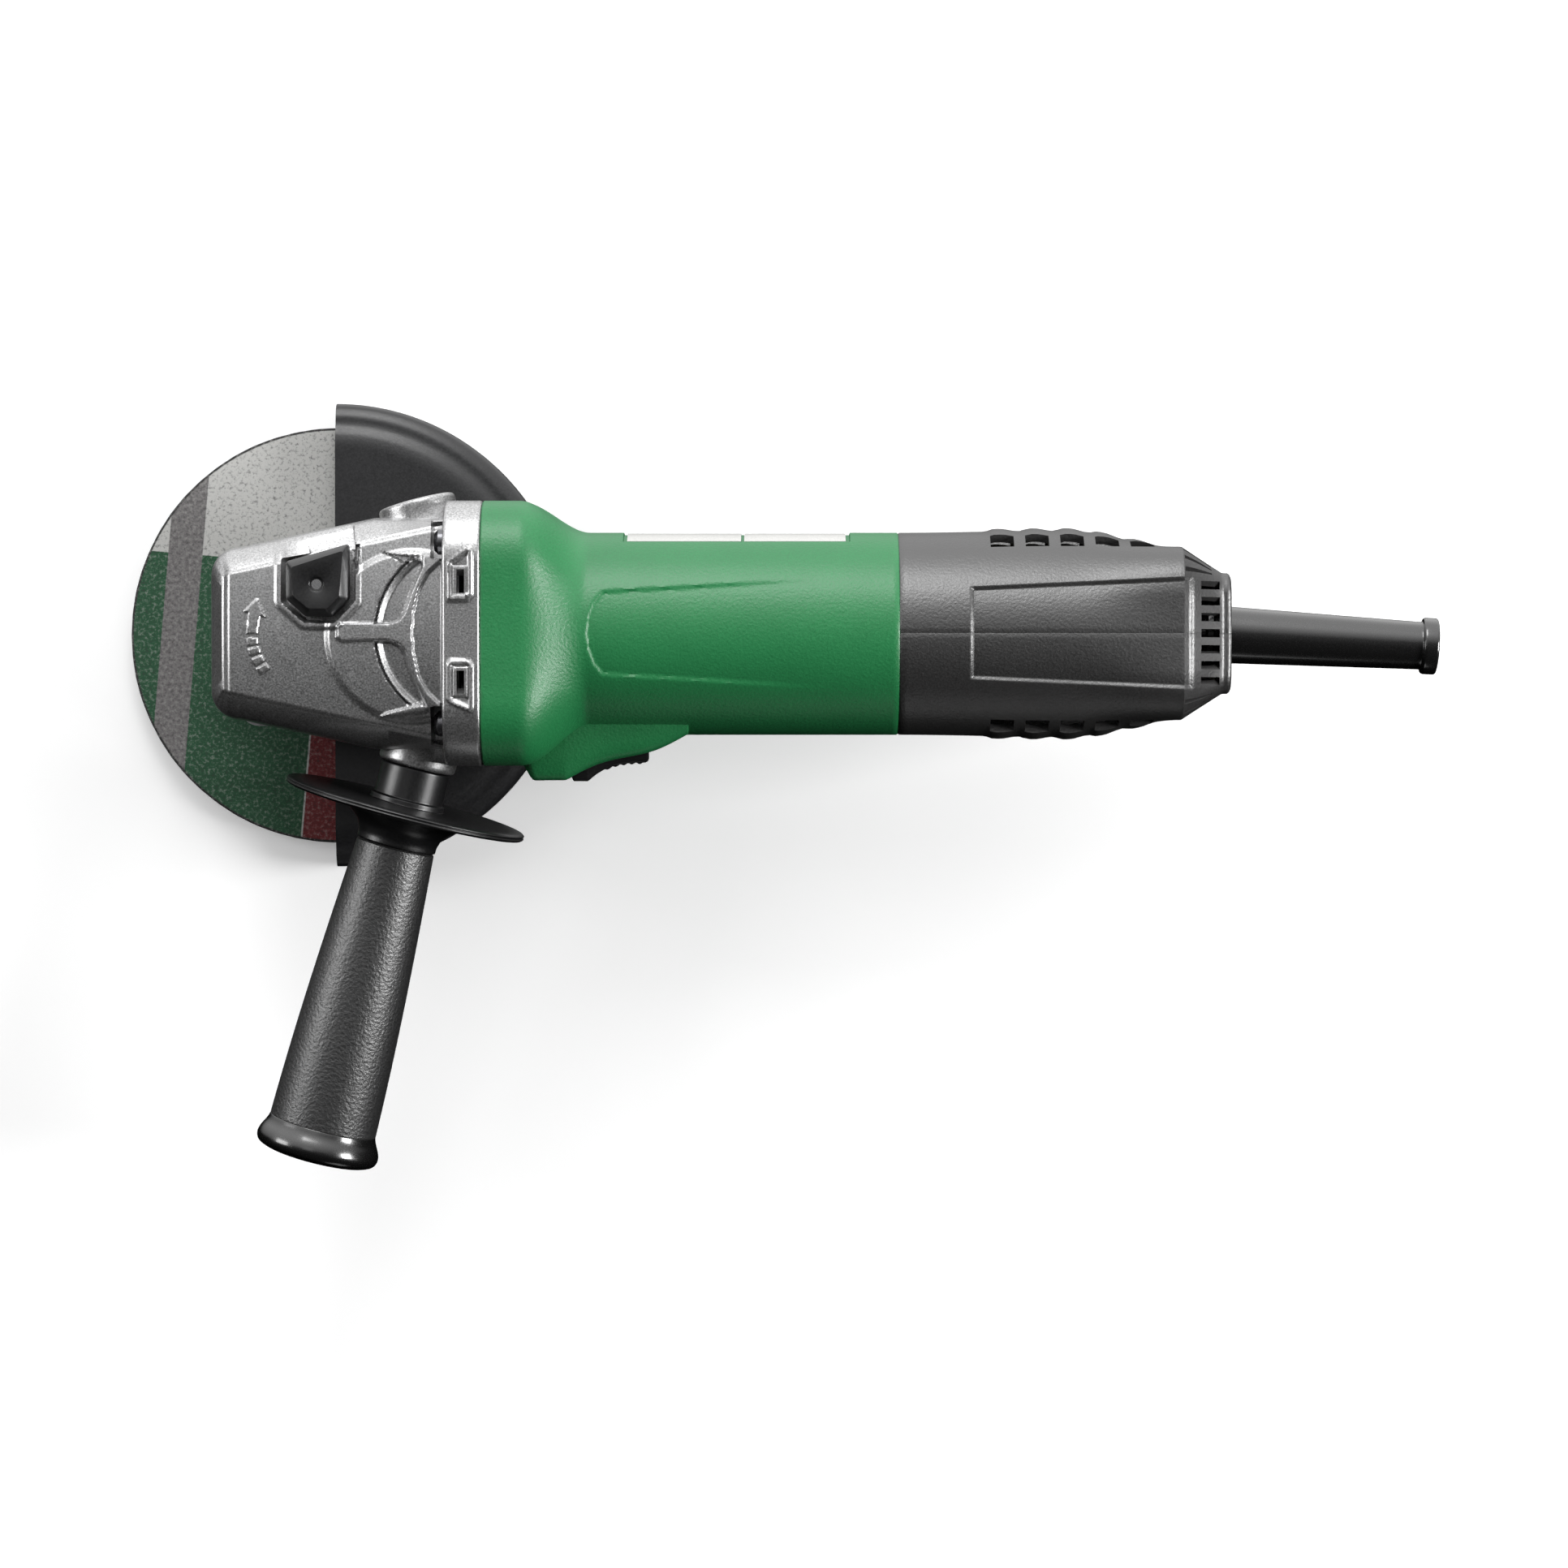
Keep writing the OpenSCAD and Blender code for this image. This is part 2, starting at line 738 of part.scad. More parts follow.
module bevel_gear() {
    heel_r = gear_pitch_r + 0.4;
    web_z0 = axis_z + pinion_pitch_r + 2.6;
    toe_r = gear_pitch_r * toe_scale - 0.3;
    toe_z = axis_z + (pinion_pitch_r + 1.7) * toe_scale + 0.7;
    color([0.5, 0.5, 0.53])
    difference() {
        union() {
            translate([0, 0, axis_z])
                tooth_ring(gear_teeth, cone_angle, -profile_shift, 1, 1.4);
            rotate_extrude()
                polygon([
                    [gear_bore_r + snug, gear_hub_z0],
                    [gear_hub_r, gear_hub_z0],
                    [gear_hub_r, toe_z],
                    [toe_r, toe_z],
                    [heel_r, web_z0],
                    [heel_r, gear_back_z - 2],
                    [heel_r - 2, gear_back_z],
                    [gear_bore_r + snug, gear_back_z]
                ]);
        }
        translate([0, -key_w / 2, gear_hub_z0 - 1])
            cube([gear_bore_r + key_w / 2, key_w, gear_back_z - gear_hub_z0 + 2]);
        for (i = [0:lock_holes - 1])
            rotate([0, 0, lock_angle + i * 360 / lock_holes])
                translate([lock_r, 0, gear_back_z - lock_depth])
                    cylinder(r = lock_pin_r + 0.5, h = lock_depth + 1);
    }
}

module inner_flange() {
    color([0.3, 0.3, 0.32])
    difference() {
        union() {
            translate([0, 0, hub_z1])
                cylinder(r = flange_d / 2, h = flange_t);
            translate([0, 0, hub_z1 - pilot_l])
                cylinder(r = wheel_bore / 2 - running, h = pilot_l + 1);
        }
        translate([0, 0, hub_z1 - 10])
            cylinder(r = thread_d / 2 + running, h = 30);
        translate([0, 0, hub_z1])
            rotate_extrude()
                translate([flange_d / 2 - 8, -0.01])
                    square([4, 0.8]);
    }
}

module lock_nut() {
    color([0.32, 0.32, 0.34])
    difference() {
        union() {
            translate([0, 0, nut_z0])
                cylinder(r = nut_d / 2, h = nut_t);
            translate([0, 0, nut_z0])
                cylinder(r = wheel_bore / 2 - running, h = nut_t + pilot_l);
        }
        translate([0, 0, nut_z0 - 1])
            cylinder(r = thread_d / 2 + running, h = 30);
        for (s = [-1, 1])
            translate([s * nut_pin_pitch / 2, 0, nut_z0 - 1])
                cylinder(r = 2.5, h = nut_t + 0.2);
    }
}

// A depressed-centre wheel: flat rim, sloping shoulder and a raised hub of even thickness
module grinding_wheel() {
    shoulder = 5;
    color([0.2, 0.36, 0.25])
    rotate_extrude()
        polygon([
            [wheel_bore / 2, hub_z0],
            [hub_d / 2 - 1, hub_z0],
            [hub_d / 2 + shoulder - 1, rim_z0],
            [wheel_d / 2, rim_z0],
            [wheel_d / 2, rim_z1],
            [hub_d / 2 + shoulder, rim_z1],
            [hub_d / 2, hub_z1],
            [wheel_bore / 2, hub_z1]
        ]);
}

// ---------- spindle lock ----------

module lock_button() {
    color([0.08, 0.08, 0.09])
    lock_hole_frame()
        difference() {
            union() {
                translate([0, 0, button_skirt_z])
                    linear_extrude(button_top_z - button_skirt_z - 1.6)
                        polygon(button_outline);
                translate([0, 0, button_top_z - 1.6])
                    linear_extrude(1.6)
                        button_shape(-1.5);
            }
            translate([0, 0, button_skirt_z - 1])
                cylinder(r = button_hollow_r, h = button_top_z - button_roof - button_skirt_z + 1);
            translate([0, 0, button_skirt_z])
                cylinder(r = lock_pin_r + snug, h = 20);
        }
}

module lock_pin() {
    color([0.6, 0.6, 0.62])
    lock_hole_frame()
        translate([0, 0, lock_tip_z])
            cylinder(r = lock_pin_r, h = button_top_z - 0.8 - lock_tip_z);
}

module lock_spring() {
    color([0.6, 0.6, 0.62])
    lock_hole_frame()
        translate([0, 0, pocket_z0 + 0.05])
            coil_spring(3.6, 0.4, button_top_z - button_roof - pocket_z0 - 0.1, 4);
}

// ---------- motor ----------

module bearing_holder() {
    windows = 6;
    color([0.62, 0.63, 0.64])
    difference() {
        union() {
            along_x(holder_x0)
                cylinder(r = band_bore_r - 0.1, h = 3.5);
            along_x(holder_x0 - 4)
                cylinder(r = holder_bore_r - slip, h = 4.1);
            along_x(holder_x0)
                cylinder(r = front_bearing[1] + 3, h = bearing_x1 - holder_x0);
        }
        along_x(bearing_x0)
            cylinder(r = front_bearing[1], h = 20);
        along_x(holder_x0 - 6)
            cylinder(r = 7.5, h = 20);
        for (i = [0:windows - 1])
            along_x(holder_x0 - 1)
                rotate([0, 0, 30 + i * 360 / windows])
                    linear_extrude(6)
                        ring_sector(front_bearing[1] + 5, band_bore_r - 4, 21);
        for (sy = [-1, 1], sz = [-1, 1])
            translate([0, sy * case_screw_y, sz * case_screw_z])
                along_x(holder_x0 - 1)
                    cylinder(r = case_screw_r + 0.8, h = 6);
    }
}

module pinion_bearing_outer() {
    color("silver")
    along_x(bearing_x0)
        bearing_outer(front_bearing);
}

module pinion_bearing_inner() {
    color("silver")
    along_x(bearing_x0)
        bearing_inner(front_bearing);
}

module fan_baffle() {
    color([0.1, 0.1, 0.11])
    along_x(baffle_x0)
        tube(fan_bore_r - 1.2, 21, baffle_t);
}

module armature_shaft() {
    color([0.6, 0.6, 0.62])
    union() {
        along_x(10.3)
            cylinder(r = 2.45, h = 8);
        along_x(15.5)
            cylinder(r = 3, h = bearing_x0 - 15.5);
        along_x(bearing_x0)
            cylinder(r = shaft_r, h = rear_bearing_x0 - bearing_x0);
        along_x(rear_bearing_x0 - 1)
            cylinder(r = small_bearing[0], h = small_bearing[2] + 1.5);
    }
}

module pinion() {
    hub_r = 6.2;
    toe_x = gear_pitch_r * toe_scale;
    color([0.5, 0.5, 0.53])
    difference() {
        union() {
            along_x(0)
                tooth_ring(pinion_teeth, pinion_cone, profile_shift, -1, 1);
            along_x(gear_pitch_r - 0.5)
                cylinder(r = hub_r - 0.9, h = bearing_x0 - gear_pitch_r + 0.5 - 0.05);
            along_x(toe_x + 0.6)
                cylinder(r1 = pinion_pitch_r * toe_scale - 0.5, r2 = pinion_pitch_r - 0.8,
                         h = gear_pitch_r - toe_x - 0.6);
        }
        along_x(toe_x - 2)
            cylinder(r = 2.45 + snug, h = 4);
        along_x(15.5 - 0.05)
            cylinder(r = 3 + snug, h = 40);
    }
}

module pinion_nut() {
    color([0.35, 0.35, 0.37])
    along_x(10.3)
        difference() {
            cylinder(r = 4.4, h = 3.4, $fn = 6);
            translate([0, 0, -1])
                cylinder(r = 2.45 + snug, h = 10);
        }
}

module fan() {
    hub_r = 8;
    color([0.75, 0.75, 0.7])
    difference() {
        along_x(fan_x0) {
            cylinder(r = hub_r, h = fan_l);
            cylinder(r = fan_r, h = 1.5);
            for (i = [0:fan_blades - 1])
                rotate([0, 0, i * 360 / fan_blades])
                    translate([15, -0.6, 0])
                        cube([fan_r - 15.3, 1.2, fan_l]);
        }
        along_x(fan_x0 - 1)
            cylinder(r = shaft_r + snug, h = fan_l + 2);
    }
}

module armature_core() {
    color([0.42, 0.42, 0.44])
    along_x(core_x0)
        difference() {
            cylinder(r = core_r, h = core_l);
            translate([0, 0, -1])
                cylinder(r = shaft_r + snug, h = core_l + 2);
            for (i = [0:core_slots - 1])
                rotate([0, 0, i * 360 / core_slots])
                    translate([0, 0, -1]) {
                        translate([slot_centre_r, 0, 0])
                            cylinder(r = slot_hole_r, h = core_l + 2);
                        translate([slot_centre_r, -0.5, 0])
                            cube([5, 1, core_l + 2]);
                    }
        }
}

module armature_windings() {
    color([0.6, 0.3, 0.12])
    union() {
        for (i = [0:core_slots - 1])
            along_x(core_x0 - 2)
                rotate([0, 0, i * 360 / core_slots])
                    translate([slot_centre_r, 0, 0])
                        cylinder(r = slot_hole_r - 0.1, h = core_l + 4);
        for (x = [core_x0 - end_turn_r, core_x1 + end_turn_r])
            along_x(x)
                rotate_extrude()
                    translate([end_turn_centre_r, 0])
                        circle(r = end_turn_r - 0.1);
    }
}

module commutator() {
    color([0.72, 0.42, 0.2])
    along_x(comm_x0)
        difference() {
            union() {
                cylinder(r = comm_r, h = comm_l);
                translate([0, 0, -1.2])
                    cylinder(r = comm_r + 1.4, h = 2);
            }
            translate([0, 0, -2])
                cylinder(r = shaft_r + snug, h = comm_l + 4);
            for (i = [0:comm_bars - 1])
                rotate([0, 0, i * 360 / comm_bars])
                    translate([comm_r - 0.8, -0.25, -2])
                        cube([4, 0.5, comm_l + 4]);
        }
}

module stator_core() {
    color([0.42, 0.42, 0.44])
    difference() {
        along_x(stator_x0)
            linear_extrude(stator_l)
                difference() {
                    union() {
                        intersection() {
                            difference() {
                                circle(r = stator_r);
                                circle(r = yoke_r);
                            }
                            square([4 * stator_r, 2 * stator_flat], center = true);
                        }
                        for (turn = [0, 180])
                            rotate(turn) {
                                translate([stator_bore_r - 2, -neck_half_w])
                                    square([yoke_r - stator_bore_r + 2.5, 2 * neck_half_w]);
                                ring_sector(stator_bore_r - 1, horn_r, coil_half_angle - 2);
                            }
                    }
                    circle(r = stator_bore_r);
                }
        stator_screw_frames(stator_x0 - 1)
            cylinder(r = stator_screw_r + 0.1, h = stator_l + 2);
    }
}

module stator_screw_frames(x) {
    for (turn = [45, 225])
        along_x(x)
            rotate([0, 0, turn])
                translate([stator_screw_at, 0, 0])
                    children();
}

// Two saddle coils, one round each pole
module field_coils() {
    color([0.62, 0.32, 0.14])
    for (turn = [0, 180])
        difference() {
            along_x(stator_x0 - coil_end)
                rotate([0, 0, turn])
                    linear_extrude(stator_l + 2 * coil_end)
                        ring_sector(horn_r + 0.2, yoke_r - 0.2, coil_half_angle);
            along_x(stator_x0 - 0.2)
                rotate([0, 0, turn])
                    translate([0, -neck_half_w - 0.4, 0])
                        cube([40, 2 * neck_half_w + 0.8, stator_l + 0.4]);
        }
}

module stator_screws() {
    color([0.35, 0.35, 0.37])
    stator_screw_frames(stator_x1)
        pan_screw(stator_screw_r, 2.4, stator_l + 9);
}

// Cuts for the switch knob, its carriage and the slide bar
module switch_cuts() {
    translate([knob_x0 - switch_travel - 1.5, -bulge_y - 5, axis_z - knob_half_z - gap])
        cube([knob_l + switch_travel + 3, bulge_y + 5 - knob_pocket_y0, 2 * (knob_half_z + gap)]);
    translate([knob_pivot_x - lug_half_x - switch_travel - 0.6, -grip_r - 4, axis_z - lug_half_z - 0.5])
        cube([2 * lug_half_x + switch_travel + 1.2, grip_r + 4 - motor_bore_r + 4, 2 * lug_half_z + 1]);
}

// The hand stop on the left side: full width at the front, then a waved slope back to the grip
module switch_bulge() {
    steps = 12;
    curve = [for (i = [0:steps]) let (t = i / steps)
        [bulge_x1 + (bulge_end_x - bulge_x1) * t, -bulge_y + (bulge_y - grip_r) * t + 1.1 * sin(360 * t)]];
    translate([0, 0, axis_z - bulge_half_z])
        linear_extrude(2 * bulge_half_z)
            polygon(concat([[bulge_x0 - 3, -grip_r + 6], [bulge_x0 - 3, -band_w / 2], [bulge_x0, -bulge_y]],
                           curve, [[bulge_end_x, -grip_r + 6]]));
}

// The inside of the motor housing: wide round the fan, then narrow round the stator
module motor_bore() {
    rotate_extrude()
        polygon([
            [0, -1], [fan_bore_r, -1], [fan_bore_r, baffle_x0 + baffle_t - housing_x0],
            [motor_bore_r, flare_x1 - housing_x0 + 1], [motor_bore_r, housing_l + 1], [0, housing_l + 1]
        ]);
}

module housing_shell() {
    difference() {
        union() {
            hull($fn = hull_fn) {
                along_x(housing_x0)
                    linear_extrude(flare_x0 - housing_x0)
                        band_outline();
                along_x(flare_x1 - 0.5)
                    cylinder(r = grip_r, h = 0.5, $fn = 64);
            }
            along_x(flare_x1 - 1)
                cylinder(r = grip_r, h = housing_x1 - flare_x1 + 1);
            switch_bulge();
        }
        along_x(housing_x0)
            motor_bore();
    }
}

// The wall that carries the rear bearing, with air windows and a notch for the slide bar
module rear_web() {
    difference() {
        union() {
            along_x(web_x0)
                cylinder(r = motor_bore_r + 0.5, h = web_t);
            along_x(web_x0)
                cylinder(r = rear_boss_r, h = rear_bearing_x1 + 1 - web_x0);
        }
        along_x(web_x0 - 1)
            cylinder(r = 8, h = 20);
        along_x(rear_seat_x0)
            cylinder(r = rear_seat_r, h = 20);
        for (turn = [45:90:315])
            along_x(web_x0 - 1)
                rotate([0, 0, turn])
                    linear_extrude(web_t + 2)
                        ring_sector(rear_boss_r + 1.5, motor_bore_r - 2, 24);
        translate([web_x0 - 1, -motor_bore_r - 1, axis_z - bar_half_z - gap])
            cube([web_t + 2, motor_bore_r + 1 - bar_y0 + gap, 2 * (bar_half_z + gap)]);
    }
}

module motor_housing() {
    color([0.05, 0.42, 0.16])
    difference() {
        union() {
            housing_shell();
            rear_web();
            intersection() {
                union() {
                    for (sy = [-1, 1], sz = [-1, 1])
                        translate([0, sy * case_screw_y, sz * case_screw_z])
                            along_x(housing_x0)
                                cylinder(r = 4, h = 12);
                }
                along_x(housing_x0)
                    linear_extrude(14)
                        band_outline();
            }
            stator_screw_frames(stator_boss_x0) {
                cylinder(r = stator_screw_r + 1.1, h = stator_x0 - stator_boss_x0);
                translate([0, -1.6, 0])
                    cube([motor_bore_r + 0.5 - stator_screw_at, 3.2, stator_x0 - stator_boss_x0]);
            }
        }
        switch_cuts();
        for (sy = [-1, 1], sz = [-1, 1])
            translate([0, sy * case_screw_y, sz * case_screw_z])
                along_x(housing_x0 - 1)
                    cylinder(r = case_screw_r + snug, h = 11);
        stator_screw_frames(stator_x0 - 11)
            cylinder(r = stator_screw_r + snug, h = 12);
        along_x(plate_x[0] - 1.2)
            linear_extrude(plate_x[1] + plate_l[1] - plate_x[0] + 2.4)
                rotate(90)
                    ring_sector(grip_r - plate_recess, grip_r + 3, plate_angle + 1.5);
    }
}

module name_plates() {
    color([0.9, 0.9, 0.88])
    for (i = [0, 1])
        along_x(plate_x[i])
            linear_extrude(plate_l[i])
                rotate(90)
                    ring_sector(grip_r - plate_recess + snug, grip_r - plate_recess + plate_t, plate_angle);
}

module rear_bearing_bush() {
    color([0.1, 0.1, 0.1])
    along_x(rear_seat_x0 + 0.2)
        tube(rear_seat_r - snug, small_bearing[1], small_bearing[2] + 0.8);
}

module rear_bearing_outer() {
    color("silver")
    along_x(rear_bearing_x0)
        bearing_outer(small_bearing);
}

module rear_bearing_inner() {
    color("silver")
    along_x(rear_bearing_x0)
        bearing_inner(small_bearing);
}

// ---------- brushes ----------

// Children drawn for the upper brush, or turned half round the motor axis for the lower one
module brush_side(up) {
    translate([brush_x, 0, axis_z])
        rotate([up ? 0 : 180, 0, 0])
            children();
}

module brush_holder(up) {
    outer_w = brush_w + 2 * holder_wall;
    outer_d = brush_d + 2 * holder_wall;
    color([0.75, 0.6, 0.3])
    brush_side(up)
        difference() {
            union() {
                translate([-outer_w / 2, -outer_d / 2, holder_r0])
                    cube([outer_w, outer_d, holder_r1 - holder_r0]);
                translate([0, -outer_d / 2, holder_r0 + 3])
                    cube([web_x0 - brush_x - snug, outer_d, holder_r1 - holder_r0 - 5]);
            }
            translate([-brush_w / 2 - 0.1, -brush_d / 2 - 0.1, holder_r0 - 1])
                cube([brush_w + 0.2, brush_d + 0.2, spring_r1 - holder_r0 + 1]);
        }
}

module carbon_brush(up) {
    crown = 0.5;
    color([0.15, 0.15, 0.16])
    brush_side(up)
        difference() {
            translate([-brush_w / 2, -brush_d / 2, brush_r0 - 2])
                cube([brush_w, brush_d, brush_l + 2]);
            translate([-brush_w, 0, 0])
                rotate([0, 90, 0])
                    cylinder(r = brush_r0 + crown - 0.5, h = 2 * brush_w);
        }
}

module brush_spring(up) {
    color([0.6, 0.6, 0.62])
    brush_side(up)
        translate([0, 0, brush_r1 + 0.03])
            coil_spring(2.2, 0.3, spring_r1 - brush_r1 - 0.06, 3);
}

module brush_holder_top() { brush_holder(true); }
module brush_holder_bottom() { brush_holder(false); }
module carbon_brush_top() { carbon_brush(true); }
module carbon_brush_bottom() { carbon_brush(false); }
module brush_spring_top() { brush_spring(true); }
module brush_spring_bottom() { brush_spring(false); }

// ---------- slide switch ----------

module slide_bar() {
    bar_x0 = knob_pivot_x - 12;
    color([0.12, 0.12, 0.13])
    difference() {
        union() {
            translate([bar_x0, -bar_y1, axis_z - bar_half_z])
                cube([actuator_x + 5 - bar_x0, bar_y1 - bar_y0, 2 * bar_half_z]);
            translate([knob_pivot_x - lug_half_x, -knob_pivot_y - 2.4, axis_z - lug_half_z])
                cube([2 * lug_half_x, knob_pivot_y + 2.4 - bar_y0, 2 * lug_half_z]);
            for (dx = [-4, 2])
                translate([actuator_x + dx, -bar_y0 - 1, axis_z - bar_half_z])
                    cube([2, 4.2, 2 * bar_half_z]);
        }
        translate([knob_pivot_x, -knob_pivot_y, axis_z - 10])
            cylinder(r = peg_r + running, h = 20);
    }
}

// The thumb piece: a nose at the front, a hollow ribbed face behind it, and a peg in the carriage lug
module switch_knob() {
    steps = 7;
    hollow = [for (i = [0:steps]) let (t = i / steps)
        [knob_x0 + 5 + (knob_l - 5) * t, -(37.4 + 5.4 * pow(1 - t, 3))]];
    color([0.07, 0.07, 0.08])
    union() {
        difference() {
            translate([0, 0, axis_z - knob_half_z])
                linear_extrude(2 * knob_half_z)
                    polygon(concat([[knob_x0, -knob_y0], [knob_x0, -40.4], [knob_x0 + 1.6, -43]],
                                   hollow, [[knob_x1, -knob_y0 - 0.8], [knob_pivot_x, -knob_y0]]));
            translate([knob_pivot_x - lug_half_x - 0.6, -knob_pivot_y - 3.2, axis_z - lug_half_z - running - 0.2])
                cube([2 * lug_half_x + 1.2 + knob_x1, 20, 2 * (lug_half_z + running + 0.2)]);
        }
        translate([knob_pivot_x, -knob_pivot_y, axis_z - lug_half_z - 1])
            cylinder(r = peg_r, h = 2 * lug_half_z + 2);
    }
}

module switch_body() {
    y0 = switch_y1;
    color([0.14, 0.14, 0.16])
    difference() {
        translate([switch_x0, y0, axis_z - switch_size[2] / 2])
            cube(switch_size);
        translate([actuator_x - 1.8 - switch_travel, y0 - 1, axis_z - 2.4])
            cube([switch_travel + 3.6, 2, 4.8]);
    }
}

module noise_filter() {
    color([0.8, 0.68, 0.2])
    translate([switch_x0 + 2, 11, axis_z - 8])
        cube([20, 9, 16]);
}

// ---------- tail cover ----------

// The tail cover's outside, shrunk by inset for the inside
module tail_form(inset) {
    hull($fn = hull_fn) {
        along_x(tail_x0 - (inset > 0 ? 1 : 0))
            cylinder(r = grip_r - inset, h = 1, $fn = 64);
        along_x(tail_mid_x)
            cylinder(r = tail_mid_r - inset, h = 1, $fn = 64);
        along_x(tail_slope_x - 2)
            linear_extrude(2)
                round_rect(tail_slope_h - 2 * inset, tail_slope_w - 2 * inset, 14 - inset);
        along_x(tail_x1 - tail_end_t - 1.6)
            linear_extrude(inset > 0 ? 1.6 : tail_end_t + 1.6)
                round_rect(tail_end_h - inset, tail_end_w - inset, 6 - inset);
    }
}

// The shallow sunken panel on the top, as what is cut away
module tail_panel() {
    narrow = 13.3;
    wide = 16.8;
    difference() {
        translate([0, 0, axis_z + 10])
            linear_extrude(grip_r)
                polygon([[panel_x0, -narrow], [panel_x1, -wide], [panel_x1, wide], [panel_x0, narrow]]);
        tail_form(panel_depth);
    }
}

// Side vents and the slots of the sloping end
module tail_vents() {
    for (i = [0:vent_count - 1], level = vent_levels)
        translate([vent_x0 + i * vent_pitch, -50, axis_z + level[0]])
            cube([vent_w, 100, level[1] - level[0]]);
    for (i = [0:end_slots - 1])
        translate([end_slot_x0, (i - (end_slots - 1) / 2) * end_slot_pitch - end_slot_w / 2, axis_z + 15])
            cube([tail_x1 - tail_end_t - end_slot_x0 - 1, end_slot_w, 20]);
}

module sleeve_frame() {
    translate([sleeve_root_x, 0, axis_z])
        rotate([0, 90, -sleeve_tilt])
            children();
}

module tail_screw_frames() {
    for (p = tail_screw_xz)
        translate([p[0], 0, p[1]])
            rotate([90, 0, 0])
                children();
}

// One half of the tail cover; side is -1 for the left half and 1 for the right
module tail_half(side) {
    color([0.2, 0.2, 0.21])
    intersection() {
        difference() {
            union() {
                difference() {
                    tail_form(0);
                    tail_form(tail_wall);
                    tail_panel();
                    tail_vents();
                }
                along_x(tail_x0 - spigot_l)
                    tube(motor_bore_r - spigot_gap, motor_bore_r - spigot_gap - 2, spigot_l + 3);
                along_x(tail_x0)
                    tube(grip_r - tail_wall + 0.5, motor_bore_r - spigot_gap - 1, 3);
                intersection() {
                    tail_screw_frames()
                        translate([0, 0, -24])
                            cylinder(r = screw_boss_r, h = 48);
                    tail_form(1);
                }
                if (side > 0)
                    translate([shelf_x0, 0, axis_z - 10])
                        cube([shelf_l, 24, 10 - cord_bore_r]);
            }
            translate([tail_x0 - spigot_l - 1, -motor_bore_r - 1, axis_z - bar_half_z - gap])
                cube([spigot_l + 5, motor_bore_r + 1 - bar_y0 + gap, 2 * (bar_half_z + gap)]);
            sleeve_frame()
                translate([0, 0, 1])
                    cylinder(r = sleeve_root_r + 0.35, h = 20);
            tail_screw_frames() {
                translate([0, 0, -14])
                    cylinder(r = tail_screw_r + (side < 0 ? 0.3 : snug), h = 60);
                translate([0, 0, tail_screw_seat])
                    cylinder(r = tail_screw_head_r + 0.4, h = 60);
            }
            clamp_screw_frames()
                translate([0, 0, -9])
                    cylinder(r = 1.4 + snug, h = 12);
        }
        translate([tail_x0 - 20, side > 0 ? 0.01 : -60.01, axis_z - 60])
            cube([tail_l + 40, 60, 120]);
    }
}

module tail_cover_left() { tail_half(-1); }
module tail_cover_right() { tail_half(1); }

module clamp_screw_frames() {
    for (s = [0, 1])
        translate([shelf_x0 + shelf_l / 2, clamp_screw_y + s * 11, axis_z - cord_bore_r])
            children();
}

// The plate that would hold the cord down on its shelf
module cord_clamp() {
    color([0.15, 0.15, 0.16])
    difference() {
        translate([shelf_x0, clamp_screw_y - 4, axis_z - cord_bore_r + snug])
            cube([shelf_l, 19, 2.5]);
        clamp_screw_frames()
            cylinder(r = 1.7, h = 10);
    }
}

module tapping_screws() {
    color([0.3, 0.3, 0.32])
    union() {
        tail_screw_frames()
            translate([0, 0, tail_screw_seat])
                pan_screw(tail_screw_r, tail_screw_head_r, tail_screw_l);
        clamp_screw_frames()
            translate([0, 0, 2.55])
                pan_screw(1.4, 2.8, 10);
    }
}

module cord_sleeve() {
    taper_l = sleeve_l + tail_x1 - sleeve_root_x - sleeve_lip_l - 2.8;
    color([0.05, 0.05, 0.05])
    sleeve_frame()
        difference() {
            union() {
                translate([0, 0, -sleeve_inner_l])
                    cylinder(r = 6.4, h = sleeve_inner_l + 1);
                translate([0, 0, -1.2])
                    cylinder(r = sleeve_flange_r, h = 2);
                cylinder(r = sleeve_root_r, h = 2.9);
                translate([0, 0, 2.8])
                    cylinder(r1 = sleeve_root_r, r2 = sleeve_tip_r, h = taper_l);
                translate([0, 0, 2.8 + taper_l])
                    cylinder(r = sleeve_lip_r, h = sleeve_lip_l);
            }
            translate([0, 0, -20])
                cylinder(r = cord_bore_r, h = 200);
        }
}

// A round wire along a chain of points that runs mainly along X, with rings square to X
module wire(points, r) {
    sides = 10;
    n = len(points);
    rings = [for (p = points, s = [0:sides - 1])
        [p[0], p[1] + r * cos(360 * s / sides), p[2] + r * sin(360 * s / sides)]];
    walls = [for (i = [0:n - 2], s = [0:sides - 1]) let (k = (s + 1) % sides, a = i * sides)
        each [[a + s, a + k, a + sides + k], [a + s, a + sides + k, a + sides + s]]];
    ends = [[for (s = [sides - 1:-1:0]) s], [for (s = [0:sides - 1]) (n - 1) * sides + s]];
    polyhedron(rings, concat(walls, ends), convexity = 6);
}

// Two insulated leads that run forward from the switch past the rear bearing to the stator
module switch_leads() {
    y0 = switch_y1 + switch_size[1] + lead_r + 0.05;
    y1 = 17;
    steps = 10;
    x0 = stator_x1 + coil_end + 0.6;
    x1 = switch_x0 + 14;
    ease = function(t) t * t * (3 - 2 * t);
    color([0.5, 0.12, 0.1])
    for (s = [-1, 1])
        wire([for (i = [0:steps]) let (t = i / steps)
            [x1 + (x0 - x1) * t, y0 + (y1 - y0) * ease(min(1, t * 1.6)),
             axis_z + s * (6 + (lead_z - 6) * ease(min(1, t * 1.8)))]], lead_r);
}

// ---------- guard ----------

